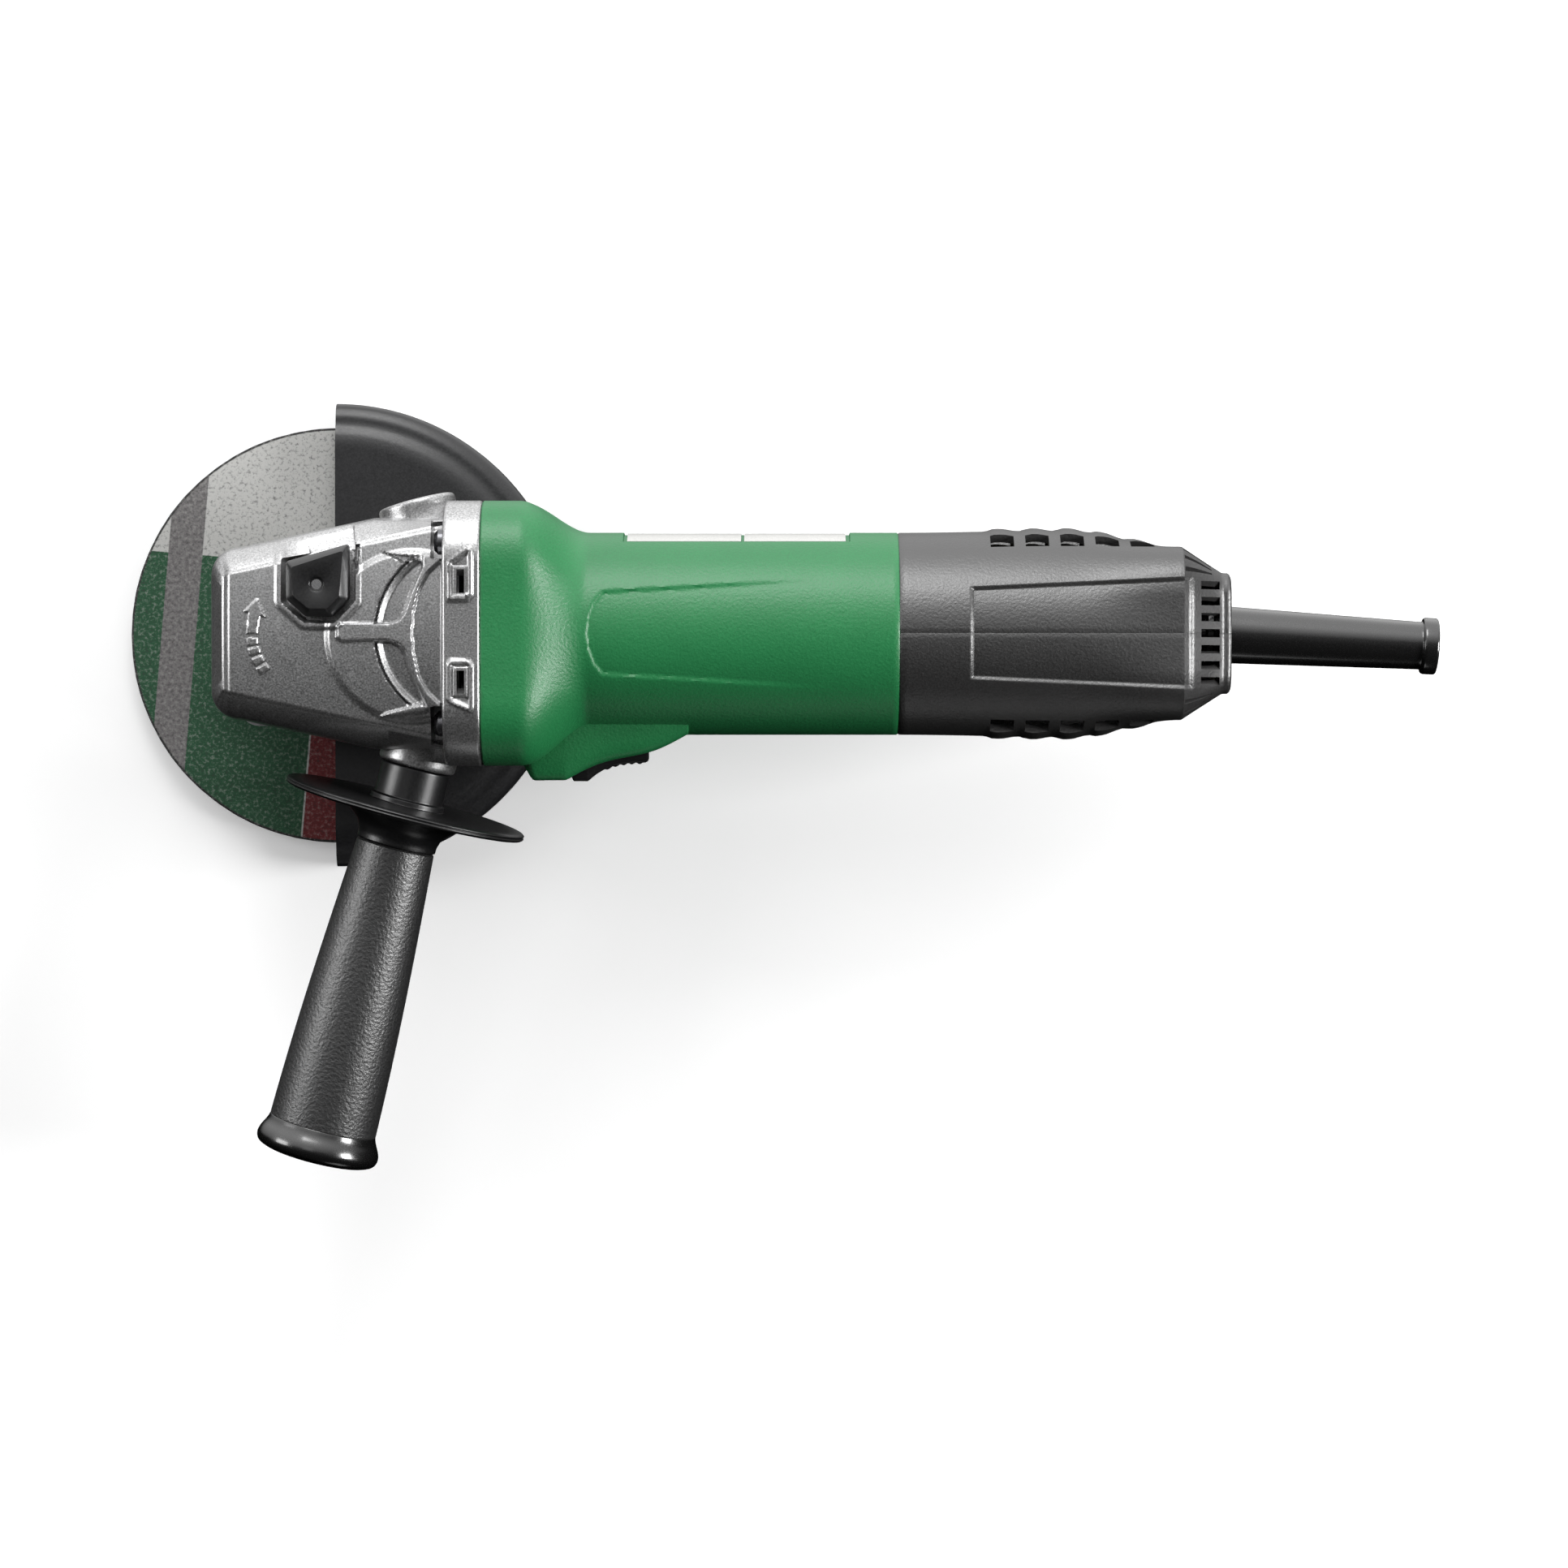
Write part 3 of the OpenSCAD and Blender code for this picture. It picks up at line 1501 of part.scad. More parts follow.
// The guard's half bowl as a profile in radius and height: flat plate, raised step, round shoulder, skirt
module guard_bowl() {
    round_r = 6;
    z0 = guard_z1 - guard_depth;
    t = guard_t;
    arc = [for (a = [90:-15:0])
        [guard_r - round_r + round_r * cos(a), guard_z1 - round_r + round_r * sin(a)]];
    inner_arc = [for (a = [0:15:90])
        [guard_r - round_r + (round_r - t) * cos(a), guard_z1 - round_r + (round_r - t) * sin(a)]];
    rotate([0, 0, -90])
        rotate_extrude(angle = 180)
            polygon(concat(
                [[guard_bore_r + 2, guard_z0 + guard_crown - 2], [guard_bore_r + 2, guard_z1 - 0.001]],
                arc,
                [[guard_r, z0], [guard_r - guard_lip, z0], [guard_r - guard_lip, z0 + 1.2], [guard_r - t, z0 + 1.2]],
                inner_arc
            ));
}

module wheel_guard() {
    color([0.1, 0.1, 0.11])
    difference() {
        union() {
            guard_bowl();
            translate([0, 0, guard_z0])
                cylinder(r = guard_hub_r, h = guard_t);
            translate([0, 0, guard_z0])
                cylinder(r = guard_bore_r + guard_band_t, h = guard_t + guard_band_h);
            for (s = [-1, 1])
                translate([-ear_x - ear_l, s > 0 ? ear_gap / 2 : -ear_gap / 2 - ear_t, guard_z1 + 0.6])
                    cube([ear_l, ear_t, guard_band_h - 0.6]);
        }
        translate([0, 0, guard_z0 - 1])
            cylinder(r = guard_bore_r, h = 20);
        translate([-ear_x - ear_l - 1, -ear_gap / 2, guard_z1 + 0.6])
            cube([ear_l + 6, ear_gap, guard_band_h]);
        translate([-ear_x - ear_l + 4.5, 20, ear_screw_z])
            rotate([90, 0, 0])
                cylinder(r = ear_screw_r + 0.1, h = 40);
    }
}

module guard_clamp_screw() {
    y = ear_gap / 2 + ear_t;
    color([0.55, 0.55, 0.56])
    translate([-ear_x - ear_l + 4.5, 0, ear_screw_z])
        rotate([-90, 0, 0]) {
            translate([0, 0, y])
                pan_screw(ear_screw_r, 3.5, 2 * y + 5.4);
            translate([0, 0, -y - 3.6])
                difference() {
                    cylinder(r = 3.9, h = 3.6, $fn = 6);
                    translate([0, 0, -1])
                        cylinder(r = ear_screw_r + snug, h = 6);
                }
        }
}

// ---------- side handle ----------

function grip_profile(u) = let (t = (u - grip_u0) / (grip_u1 - grip_u0))
    grip_r0 + (grip_r1 - grip_r0) * (0.35 * t + 0.65 * sin(90 * t));

module handle_stud() {
    color([0.6, 0.6, 0.62])
    handle_frame(-1)
        union() {
            translate([0, 0, -socket_depth + 1])
                cylinder(r = stud_d / 2, h = socket_depth - 1 + 20);
            translate([0, 0, 20])
                cylinder(r = 6.5, h = 6, $fn = 6);
        }
}

module handle_core() {
    steps = 8;
    core = [for (i = [0:steps]) let (u = grip_u0 + (grip_u1 - grip_u0) * i / steps)
        [grip_profile(u) - grip_sleeve_t, u]];
    color([0.09, 0.09, 0.1])
    handle_frame(-1)
        difference() {
            rotate_extrude()
                polygon(concat(
                    [[0, 0.3], [handle_collar_r, 0.3], [handle_collar_r, collar_l], [shield_r - 1, collar_l],
                     [shield_r, collar_l + shield_t / 2], [shield_r - 1, collar_l + shield_t],
                     [17.5, collar_l + shield_t + 0.8], [12.6, 18.4], [neck_r, 21.5], [neck_r, grip_u0]],
                    core,
                    [[cap_core_r, grip_u1], [cap_core_r, grip_u1 + 5], [0, grip_u1 + 5]]
                ));
            cylinder(r = stud_d / 2 + snug, h = 20.01);
            translate([0, 0, 20])
                cylinder(r = 6.5 + snug, h = 6.02, $fn = 6);
        }
}

module handle_grip() {
    steps = 8;
    outer = [for (i = [0:steps]) let (u = grip_u0 + (grip_u1 - grip_u0) * i / steps) [grip_profile(u), u]];
    inner = [for (i = [steps:-1:0]) [outer[i][0] - grip_sleeve_t + snug, outer[i][1]]];
    color([0.16, 0.16, 0.17])
    handle_frame(-1)
        rotate_extrude()
            polygon(concat(outer, inner));
}

module handle_end_cap() {
    u = grip_u1;
    color([0.09, 0.09, 0.1])
    handle_frame(-1)
        rotate_extrude()
            polygon([
                [cap_core_r + snug, u + snug], [grip_r1, u + snug], [grip_r1 + 0.6, u + 2.5], [cap_r - 0.6, u + 5],
                [cap_r, u + 6.6], [cap_r - 0.8, u + 8.4], [cap_r - 4, u + 9.8], [0, handle_l],
                [0, u + 5 + snug], [cap_core_r + snug, u + 5 + snug]
            ]);
}

// ---------- what is drawn ----------

gear_case();
gear_case_screws();
bearing_cover();
bearing_cover_screws();
dust_seal();
spindle_bearing_outer();
top_bearing_outer();
bearing_holder();
pinion_bearing_outer();
fan_baffle();
motor_housing();
stator_core();
field_coils();
stator_screws();
brush_holder_top();
brush_holder_bottom();
rear_bearing_outer();
rear_bearing_bush();
tail_cover_left();
tail_cover_right();
tapping_screws();
switch_body();
noise_filter();
cord_clamp();
cord_sleeve();
switch_leads();
name_plates();
spindle();
bevel_gear();
gear_key();
inner_flange();
grinding_wheel();
lock_nut();
spindle_bearing_inner();
top_bearing_inner();
armature_shaft();
armature_core();
armature_windings();
commutator();
fan();
pinion();
pinion_nut();
pinion_bearing_inner();
rear_bearing_inner();
lock_button();
lock_pin();
lock_spring();
slide_bar();
switch_knob();
wheel_guard();
guard_clamp_screw();
handle_stud();
handle_core();
handle_grip();
handle_end_cap();
carbon_brush_top();
carbon_brush_bottom();
brush_spring_top();
brush_spring_bottom();
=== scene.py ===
import json
import math

import bmesh
import bpy
import numpy as np
from mathutils import Matrix, Vector


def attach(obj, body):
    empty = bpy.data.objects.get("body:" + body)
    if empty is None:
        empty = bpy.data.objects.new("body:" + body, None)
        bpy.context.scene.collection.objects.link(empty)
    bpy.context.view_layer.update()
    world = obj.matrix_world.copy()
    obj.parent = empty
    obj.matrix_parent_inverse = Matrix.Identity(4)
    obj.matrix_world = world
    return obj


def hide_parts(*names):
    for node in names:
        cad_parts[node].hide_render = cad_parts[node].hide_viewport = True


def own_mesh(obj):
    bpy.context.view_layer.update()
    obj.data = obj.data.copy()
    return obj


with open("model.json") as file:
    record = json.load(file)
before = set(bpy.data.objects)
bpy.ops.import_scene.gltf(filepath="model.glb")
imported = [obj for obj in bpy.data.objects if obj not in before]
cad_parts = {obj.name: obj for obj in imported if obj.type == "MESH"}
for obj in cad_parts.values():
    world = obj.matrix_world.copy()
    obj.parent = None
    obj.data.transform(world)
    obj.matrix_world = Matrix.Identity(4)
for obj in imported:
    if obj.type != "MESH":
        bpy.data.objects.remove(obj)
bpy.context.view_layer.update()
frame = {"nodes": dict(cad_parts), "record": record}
slot_of = {part["node"]: part["material_slot"] for part in frame["record"]["subparts"]}

# Sizes are in millimetres here and become metres when a mesh is made
MM = 0.001
MOTOR_Z = 56.0
BAND_X0, BAND_X1 = 37.0, 47.8
BAND_SIZE = (76.2, 72.0, 18.0)  # width, height, corner radius
CASE_WALL = 2.3
GRIP_R, GRIP_WALL, HOUSING_END = 29.4, 2.6, 167.3
TAIL_END = 263.3
HANDLE_LEAN, HANDLE_DROOP = math.radians(14.8), math.radians(2.0)


# ---------- shaping ----------

def ease(t):
    """Rises from 0 to 1 with level ends: 3t^2 - 2t^3, held at both ends."""
    t = np.clip(t, 0.0, 1.0)
    return t * t * (3.0 - 2.0 * t)


def depth_inside(outline, x, y):
    """Distance from each point to the nearest edge of a closed outline, positive inside it and negative outside."""
    corners = np.asarray(outline, float)
    nearest = np.full(np.shape(x), 1e9)
    inside = np.zeros(np.shape(x), bool)
    for (ax, ay), (bx, by) in zip(corners, np.roll(corners, -1, 0)):
        dx, dy = bx - ax, by - ay
        t = np.clip(((x - ax) * dx + (y - ay) * dy) / (dx * dx + dy * dy), 0, 1)
        nearest = np.minimum(nearest, np.hypot(x - ax - t * dx, y - ay - t * dy))
        crossing = ax + (y - ay) * dx / (dy if abs(dy) > 1e-9 else 1e-9)
        inside ^= ((ay > y) != (by > y)) & (x < crossing)
    return np.where(inside, nearest, -nearest)


def softened(corners, radius, steps=5, closed=True):
    """Each corner becomes a quadratic curve from a point `radius` before it to a point `radius` after it.

    Corners may be (k, 2) points or (k, columns, 3) rows of points; an open line keeps its two ends."""
    p = np.asarray(corners, float)
    r = np.broadcast_to(np.asarray(radius, float), (len(p),)).reshape((-1,) + (1,) * (p.ndim - 1)).copy()
    if not closed:
        r[0] = r[-1] = 0
    back, ahead = np.roll(p, 1, 0) - p, np.roll(p, -1, 0) - p
    lb = np.maximum(np.linalg.norm(back, axis=-1, keepdims=True), 1e-9)
    la = np.maximum(np.linalg.norm(ahead, axis=-1, keepdims=True), 1e-9)
    start = p + back / lb * np.minimum(r, 0.48 * lb)
    end = p + ahead / la * np.minimum(r, 0.48 * la)
    t = np.linspace(0, 1, steps + 1).reshape((1, -1) + (1,) * (p.ndim - 1))
    s, c, e = start[:, None], p[:, None], end[:, None]
    curve = (1 - t) ** 2 * s + 2 * t * (1 - t) * c + t ** 2 * e
    return curve.reshape((-1,) + p.shape[1:])


def sheet(grid, around_u=False, around_v=False):
    """A grid of points as one sheet of four-sided faces, closed on itself where it goes around."""
    n, m = grid.shape[:2]
    index = np.arange(n * m).reshape(n, m)
    if around_u:
        index = np.vstack([index, index[:1]])
    if around_v:
        index = np.hstack([index, index[:, :1]])
    quads = np.stack([index[:-1, :-1], index[1:, :-1], index[1:, 1:], index[:-1, 1:]], -1).reshape(-1, 4)
    return grid.reshape(-1, 3), quads


def walled(outer, inner, keep=None, around_v=True):
    """Two skins on the same grid, joined by a wall along every free edge.

    Cells that keep leaves out are openings, and their edges get a wall between the skins too."""
    n, m = outer.shape[:2]
    cells = (n - 1, m if around_v else m - 1)
    keep = np.ones(cells, bool) if keep is None else keep
    i, j = np.meshgrid(np.arange(cells[0]), np.arange(cells[1]), indexing="ij")
    i2, j2 = i + 1, (j + 1) % m
    a, b, c, d = i * m + j, i2 * m + j, i2 * m + j2, i * m + j2
    k = n * m
    quads = [np.stack([a, b, c, d], -1)[keep], np.stack([d + k, c + k, b + k, a + k], -1)[keep]]
    padded = np.zeros((cells[0] + 2, cells[1] + 2), bool)
    padded[1:-1, 1:-1] = keep
    if around_v:
        padded[1:-1, 0], padded[1:-1, -1] = keep[:, -1], keep[:, 0]
    for p, q, beside in ((a, b, padded[1:-1, :-2]), (b, c, padded[2:, 1:-1]),
                         (c, d, padded[1:-1, 2:]), (d, a, padded[:-2, 1:-1])):
        edge = keep & ~beside
        quads.append(np.stack([q, p, p + k, q + k], -1)[edge])
    return np.concatenate([outer.reshape(-1, 3), inner.reshape(-1, 3)]), np.concatenate(quads)


def turned(profile, origin=(0, 0, 0), axis=(0, 0, 1), columns=128, closed=True, swell=None):
    """A profile of (radius, height) points turned about an axis: origin + height * axis + radius * (cos, sin).

    swell(radius, height, angle) may change the radius round the turn."""
    axis = np.asarray(axis, float) / np.linalg.norm(axis)
    side = np.cross(axis, (0, 0, 1.0) if abs(axis[2]) < 0.9 else (0, 1.0, 0))
    side /= np.linalg.norm(side)
    other = np.cross(axis, side)
    profile = np.asarray(profile, float)
    angle = np.linspace(0, 2 * np.pi, columns, endpoint=False)
    r, h = profile[:, :1], profile[:, 1:]
    if swell is not None:
        r = swell(r, h, angle[None, :])
    r = r * np.ones_like(angle)[None, :]
    grid = (np.asarray(origin, float) + h[..., None] * axis
            + (r * np.cos(angle))[..., None] * side + (r * np.sin(angle))[..., None] * other)
    return sheet(grid, around_u=closed, around_v=True)


def block(outline, levels, shrink):
    """A prism on an outline: at each level the outline is drawn in towards its middle, and both ends close at a point."""
    outline = np.asarray(outline, float)
    middle = outline.mean(0)
    reach = np.linalg.norm(outline - middle, axis=1, keepdims=True)
    rows = [np.c_[np.tile(middle, (len(outline), 1)), np.full(len(outline), levels[0])]]
    for z, s in zip(levels, shrink):
        rows.append(np.c_[middle + (outline - middle) * (1 - s / reach), np.full(len(outline), z)])
    rows.append(np.c_[np.tile(middle, (len(outline), 1)), np.full(len(outline), levels[-1])])
    return sheet(np.array(rows), around_v=True)


def piece(name, patches, slot, body, stands_for=(), sharp=38.0, thickness=0.0):
    """Joins the patches into one mesh, closes its seams and poles, and turns every face outwards."""
    points, faces, start = [], [], 0
    for p, q in patches:
        points.append(p)
        faces.append(q + start)
        start += len(p)
    points, faces = np.concatenate(points) * MM, np.concatenate(faces)
    mesh = bpy.data.meshes.new(name)
    mesh.vertices.add(len(points))
    mesh.vertices.foreach_set("co", points.astype(np.float32).ravel())
    mesh.loops.add(len(faces) * 4)
    mesh.loops.foreach_set("vertex_index", faces.astype(np.int32).ravel())
    mesh.polygons.add(len(faces))
    mesh.polygons.foreach_set("loop_start", np.arange(0, len(faces) * 4, 4, dtype=np.int32))
    mesh.update(calc_edges=True)
    work = bmesh.new()
    work.from_mesh(mesh)
    bmesh.ops.remove_doubles(work, verts=work.verts, dist=1.5e-6)
    bmesh.ops.delete(work, geom=[v for v in work.verts if not v.link_faces], context="VERTS")
    bmesh.ops.recalc_face_normals(work, faces=work.faces)
    work.to_mesh(mesh)
    work.free()
    mesh.polygons.foreach_set("use_smooth", np.ones(len(mesh.polygons), bool))
    mesh.set_sharp_from_angle(angle=math.radians(sharp))
    mesh.materials.append(finishes[slot])
    thing = bpy.data.objects.new(name, mesh)
    bpy.context.scene.collection.objects.link(thing)
    if thickness:
        wall = thing.modifiers.new("wall", "SOLIDIFY")
        wall.thickness, wall.offset = thickness * MM, -1
    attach(thing, body)
    if stands_for:
        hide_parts(*stands_for)
    return thing


# ---------- finishes ----------

def new_finish(name):
    """An empty node material: its nodes, links and shader."""
    material = bpy.data.materials.new(name)
    material.use_nodes = True
    nodes, links = material.node_tree.nodes, material.node_tree.links
    nodes.clear()
    out = nodes.new("ShaderNodeOutputMaterial")
    shader = nodes.new("ShaderNodeBsdfPrincipled")
    links.new(shader.outputs[0], out.inputs[0])
    return material, nodes, links, shader


def speckle(nodes, links, coords, size, detail=2.0, rough=0.5):
    """Noise whose grains are about `size` millimetres."""
    noise = nodes.new("ShaderNodeTexNoise")
    noise.inputs["Scale"].default_value = 1.0 / (size * MM)
    noise.inputs["Detail"].default_value = detail
    noise.inputs["Roughness"].default_value = rough
    links.new(coords, noise.inputs["Vector"])
    return noise.outputs["Fac"]


def spread(nodes, links, value, low, high, to_low, to_high):
    """Maps a value from one range to another, held at both ends."""
    node = nodes.new("ShaderNodeMapRange")
    for socket, number in zip(("From Min", "From Max", "To Min", "To Max"), (low, high, to_low, to_high)):
        node.inputs[socket].default_value = number
    links.new(value, node.inputs["Value"])
    return node.outputs["Result"]


def blend_colours(nodes, links, amount, first, second):
    """first where amount is 0 and second where it is 1; each is a colour or a colour output."""
    mix = nodes.new("ShaderNodeMix")
    mix.data_type = "RGBA"
    links.new(amount, mix.inputs["Factor"])
    for socket, colour in ((mix.inputs["A"], first), (mix.inputs["B"], second)):
        if isinstance(colour, tuple):
            socket.default_value = colour + (1.0,)
        else:
            links.new(colour, socket)
    return mix.outputs["Result"]


def shade(colour, factor):
    return tuple(min(1.0, c * factor) for c in colour)


def finish(name, colour, metal=0.0, rough=0.45, coat=0.0, fleck=0.4, swing=0.15, cloud=14.0, drift=0.1,
           grain=0.5, height=0.02, worn=None, worn_share=0.34, even=0.06, specular=0.5, bend=1.5):
    """A moulded, painted or metal finish.

    Colour: a fine fleck (swing) over slow clouds (drift), with rubbed spots in the worn colour.
    Height: noise of `grain` millimetres raised by `height` millimetres. bend is the refractive index.
    Roughness: varies by `even` with the fleck."""
    material, nodes, links, shader = new_finish(name)
    coords = nodes.new("ShaderNodeTexCoord").outputs["Object"]
    fine = speckle(nodes, links, coords, fleck, 3.0, 0.6)
    slow = speckle(nodes, links, coords, cloud, 2.0)
    flecked = blend_colours(nodes, links, spread(nodes, links, fine, 0.3, 0.7, 0.0, 1.0),
                            shade(colour, 1 - swing), shade(colour, 1 + swing))
    clouded = blend_colours(nodes, links, spread(nodes, links, slow, 0.35, 0.65, 0.0, drift * 2),
                            flecked, shade(colour, 0.6))
    if worn is not None:
        patches = speckle(nodes, links, coords, 6.5, 8.0, 0.72)
        rubbed = spread(nodes, links, patches, 1 - worn_share, 1.02 - worn_share, 0.0, 0.75)
        clouded = blend_colours(nodes, links, rubbed, clouded, worn)
    links.new(clouded, shader.inputs["Base Color"])
    links.new(spread(nodes, links, fine, 0.3, 0.7, max(0.02, rough - even), rough + even), shader.inputs["Roughness"])
    shader.inputs["Metallic"].default_value = metal
    shader.inputs["Coat Weight"].default_value = coat
    shader.inputs["Coat Roughness"].default_value = 0.12
    shader.inputs["Specular IOR Level"].default_value = specular
    shader.inputs["IOR"].default_value = bend
    bump = nodes.new("ShaderNodeBump")
    bump.inputs["Distance"].default_value = height * MM
    links.new(speckle(nodes, links, coords, grain, 3.0), bump.inputs["Height"])
    links.new(bump.outputs["Normal"], shader.inputs["Normal"])
    return material


def wheel_finish():
    """Bonded abrasive with a printed paper face: plain blocks of colour, a bare dark rim, grit speckle all over."""
    material, nodes, links, shader = new_finish("resin_bonded_abrasive")
    coords = nodes.new("ShaderNodeTexCoord").outputs["Object"]
    split = nodes.new("ShaderNodeSeparateXYZ")
    links.new(coords, split.inputs[0])
    length = nodes.new("ShaderNodeVectorMath")
    length.operation = "LENGTH"
    flat = nodes.new("ShaderNodeCombineXYZ")
    links.new(split.outputs[0], flat.inputs[0])
    links.new(split.outputs[1], flat.inputs[1])
    links.new(flat.outputs[0], length.inputs[0])
    r = length.outputs["Value"]

    # The print is set askew on the disc: across runs over its stripes and up runs along them
    skew = nodes.new("ShaderNodeVectorRotate")
    skew.rotation_type = "Z_AXIS"
    skew.inputs["Angle"].default_value = math.radians(4.9)
    links.new(coords, skew.inputs["Vector"])
    print_axes = nodes.new("ShaderNodeSeparateXYZ")
    links.new(skew.outputs[0], print_axes.inputs[0])
    across, up = print_axes.outputs[0], print_axes.outputs[1]

    def past(value, edge):
        return spread(nodes, links, value, (edge - 0.12) * MM, (edge + 0.12) * MM, 0.0, 1.0)

    green, pale, grey = (0.007, 0.07, 0.026), (0.47, 0.47, 0.455), (0.15, 0.143, 0.143)
    lower = blend_colours(nodes, links, past(across, -6.3), green, (0.5, 0.5, 0.48))
    lower = blend_colours(nodes, links, past(across, -5.8), lower, (0.15, 0.010, 0.013))
    colour = blend_colours(nodes, links, past(up, 20.6), lower, pale)
    stripe = blend_colours(nodes, links, past(across, -53.2), colour, grey)
    colour = blend_colours(nodes, links, past(across, -42.9), stripe, colour)
    colour = blend_colours(nodes, links, past(r, 61.7), colour, (0.012, 0.012, 0.012))
    grit = speckle(nodes, links, coords, 1.1, 4.0, 0.7)
    colour = blend_colours(nodes, links, spread(nodes, links, grit, 0.5, 0.72, 0.0, 0.5), colour, (0.4, 0.4, 0.38))
    colour = blend_colours(nodes, links, spread(nodes, links, grit, 0.5, 0.3, 0.0, 0.75), colour, (0.02, 0.02, 0.02))
    links.new(colour, shader.inputs["Base Color"])
    links.new(spread(nodes, links, grit, 0.3, 0.7, 0.65, 0.95), shader.inputs["Roughness"])
    bump = nodes.new("ShaderNodeBump")
    bump.inputs["Distance"].default_value = 0.12 * MM
    links.new(grit, bump.inputs["Height"])
    links.new(bump.outputs["Normal"], shader.inputs["Normal"])
    return material


COAL, STEEL = (0.02, 0.02, 0.021), (0.5, 0.5, 0.51)
finishes = {
    "silver_paint": finish("silver_paint", (0.46, 0.46, 0.462), 0.9, 0.34, fleck=0.5, swing=0.4, drift=0.04,
                           grain=0.5, height=0.04, worn=(0.3, 0.3, 0.305), worn_share=0.27),
    "bare_casting": finish("bare_casting", (0.42, 0.42, 0.43), 0.9, 0.5, fleck=0.6, grain=0.8, height=0.05),
    "black_screws": finish("black_screws", (0.16, 0.16, 0.17), 0.9, 0.3, grain=0.6, height=0.01),
    "zinc_screws": finish("zinc_screws", (0.6, 0.59, 0.55), 1.0, 0.28, grain=0.6, height=0.01),
    "felt_seal": finish("felt_seal", (0.12, 0.11, 0.10), rough=0.95, grain=0.3, height=0.1),
    "bearing_steel": finish("bearing_steel", (0.6, 0.6, 0.62), 1.0, 0.16, swing=0.05, grain=1.0, height=0.004),
    "machined_steel": finish("machined_steel", STEEL, 1.0, 0.27, fleck=0.3, grain=0.25, height=0.006),
    "gear_steel": finish("gear_steel", (0.36, 0.36, 0.37), 1.0, 0.36, grain=0.4, height=0.01),
    "blackened_steel": finish("blackened_steel", (0.05, 0.05, 0.055), 0.9, 0.36, grain=0.5, height=0.02,
                              worn=(0.3, 0.3, 0.31), worn_share=0.3),
    "resin_bonded_abrasive": wheel_finish(),
    "black_guard_paint": finish("black_guard_paint", (0.016, 0.016, 0.017), 0.0, 0.36, fleck=0.6, grain=1.4,
                                height=0.035, swing=0.3, worn=(0.045, 0.045, 0.047), worn_share=0.3),
    "green_plastic": finish("green_plastic", (0.014, 0.175, 0.054), 0.0, 0.43, fleck=0.45, swing=0.14, drift=0.06,
                            grain=0.85, height=0.12, worn=(0.035, 0.21, 0.09), worn_share=0.27, even=0.05,
                            specular=0.6),
    "dark_grey_plastic": finish("dark_grey_plastic", (0.017, 0.0166, 0.0166), 0.0, 0.42, fleck=0.45, swing=0.3,
                                drift=0.08, grain=0.8, height=0.13, worn=(0.035, 0.035, 0.035), worn_share=0.28,
                                specular=1.0, bend=1.6),
    "black_plastic": finish("black_plastic", (0.006, 0.006, 0.0065), 0.0, 0.34, fleck=0.5, swing=0.3, grain=0.7,
                            height=0.02, specular=0.8),
    "handle_rubber": finish("handle_rubber", (0.012, 0.012, 0.0122), 0.0, 0.42, fleck=0.5, swing=0.3,
                            grain=0.9, height=0.22, specular=1.0, bend=1.6),
    "black_gloss": finish("black_gloss", (0.005, 0.005, 0.005), 0.0, 0.24, coat=0.8, grain=2.0, height=0.01,
                          specular=0.8),
    "bush_rubber": finish("bush_rubber", COAL, 0.0, 0.7, grain=0.6, height=0.03),
    "fan_plastic": finish("fan_plastic", (0.05, 0.05, 0.06), 0.0, 0.5),
    "laminated_steel": finish("laminated_steel", (0.3, 0.3, 0.31), 0.9, 0.45, grain=0.5, height=0.05),
    "enamelled_copper": finish("enamelled_copper", (0.42, 0.13, 0.04), 0.7, 0.3, grain=0.7, height=0.15),
    "commutator_copper": finish("commutator_copper", (0.62, 0.25, 0.12), 1.0, 0.25, grain=0.5, height=0.01),
    "sheet_brass": finish("sheet_brass", (0.6, 0.42, 0.14), 1.0, 0.28, grain=0.8, height=0.01),
    "carbon": finish("carbon", (0.02, 0.02, 0.021), 0.1, 0.6, grain=0.3, height=0.02),
    "spring_steel": finish("spring_steel", (0.45, 0.45, 0.46), 1.0, 0.3, grain=0.6, height=0.01),
    "filter_case": finish("filter_case", (0.5, 0.42, 0.1), 0.0, 0.4, grain=0.9, height=0.02),
    "lead_insulation": finish("lead_insulation", (0.02, 0.05, 0.22), 0.0, 0.4, grain=0.9, height=0.01),
    "plain_plate": finish("plain_plate", (0.6, 0.6, 0.58), 0.3, 0.35, grain=1.2, height=0.01, drift=0.05),
}
for name, node in frame["nodes"].items():
    node.data.materials.clear()
    node.data.materials.append(finishes[slot_of[name]])


# ---------- gear case ----------

ARROW = [(-16.1, 10.2), (-20.3, 6.1), (-18.8, 5.7), (-19.4, -0.45), (-16.2, -0.45), (-15.3, 4.75), (-13.7, 4.3)]
BUTTON = [(-7.6, 20.3), (10.2, 25.3), (10.2, 9.6), (5.4, 4.6), (-2.0, 4.6), (-7.6, 9.6)]
T_RIB = [(6.5, 1.8), (7.6, 3.0), (21.8, 3.0), (24.4, 3.9), (26.0, 6.0), (26.9, 8.6), (27.7, 11.2), (29.4, 15.3),
         (31.0, 19.0), (31.0, 22.4), (37.0, 22.4), (36.6, 20.2), (33.0, 16.8), (30.6, 12.4), (29.1, 6.0), (28.6, 0.0),
         (29.1, -6.0), (30.6, -12.4), (33.0, -16.8), (36.6, -20.2), (37.0, -22.0), (33.0, -22.6), (31.1, -19.0),
         (29.4, -15.3), (27.7, -11.2), (26.9, -8.6), (26.0, -5.6), (24.4, -3.5), (21.8, -2.6), (7.6, -2.6), (6.5, -1.4)]
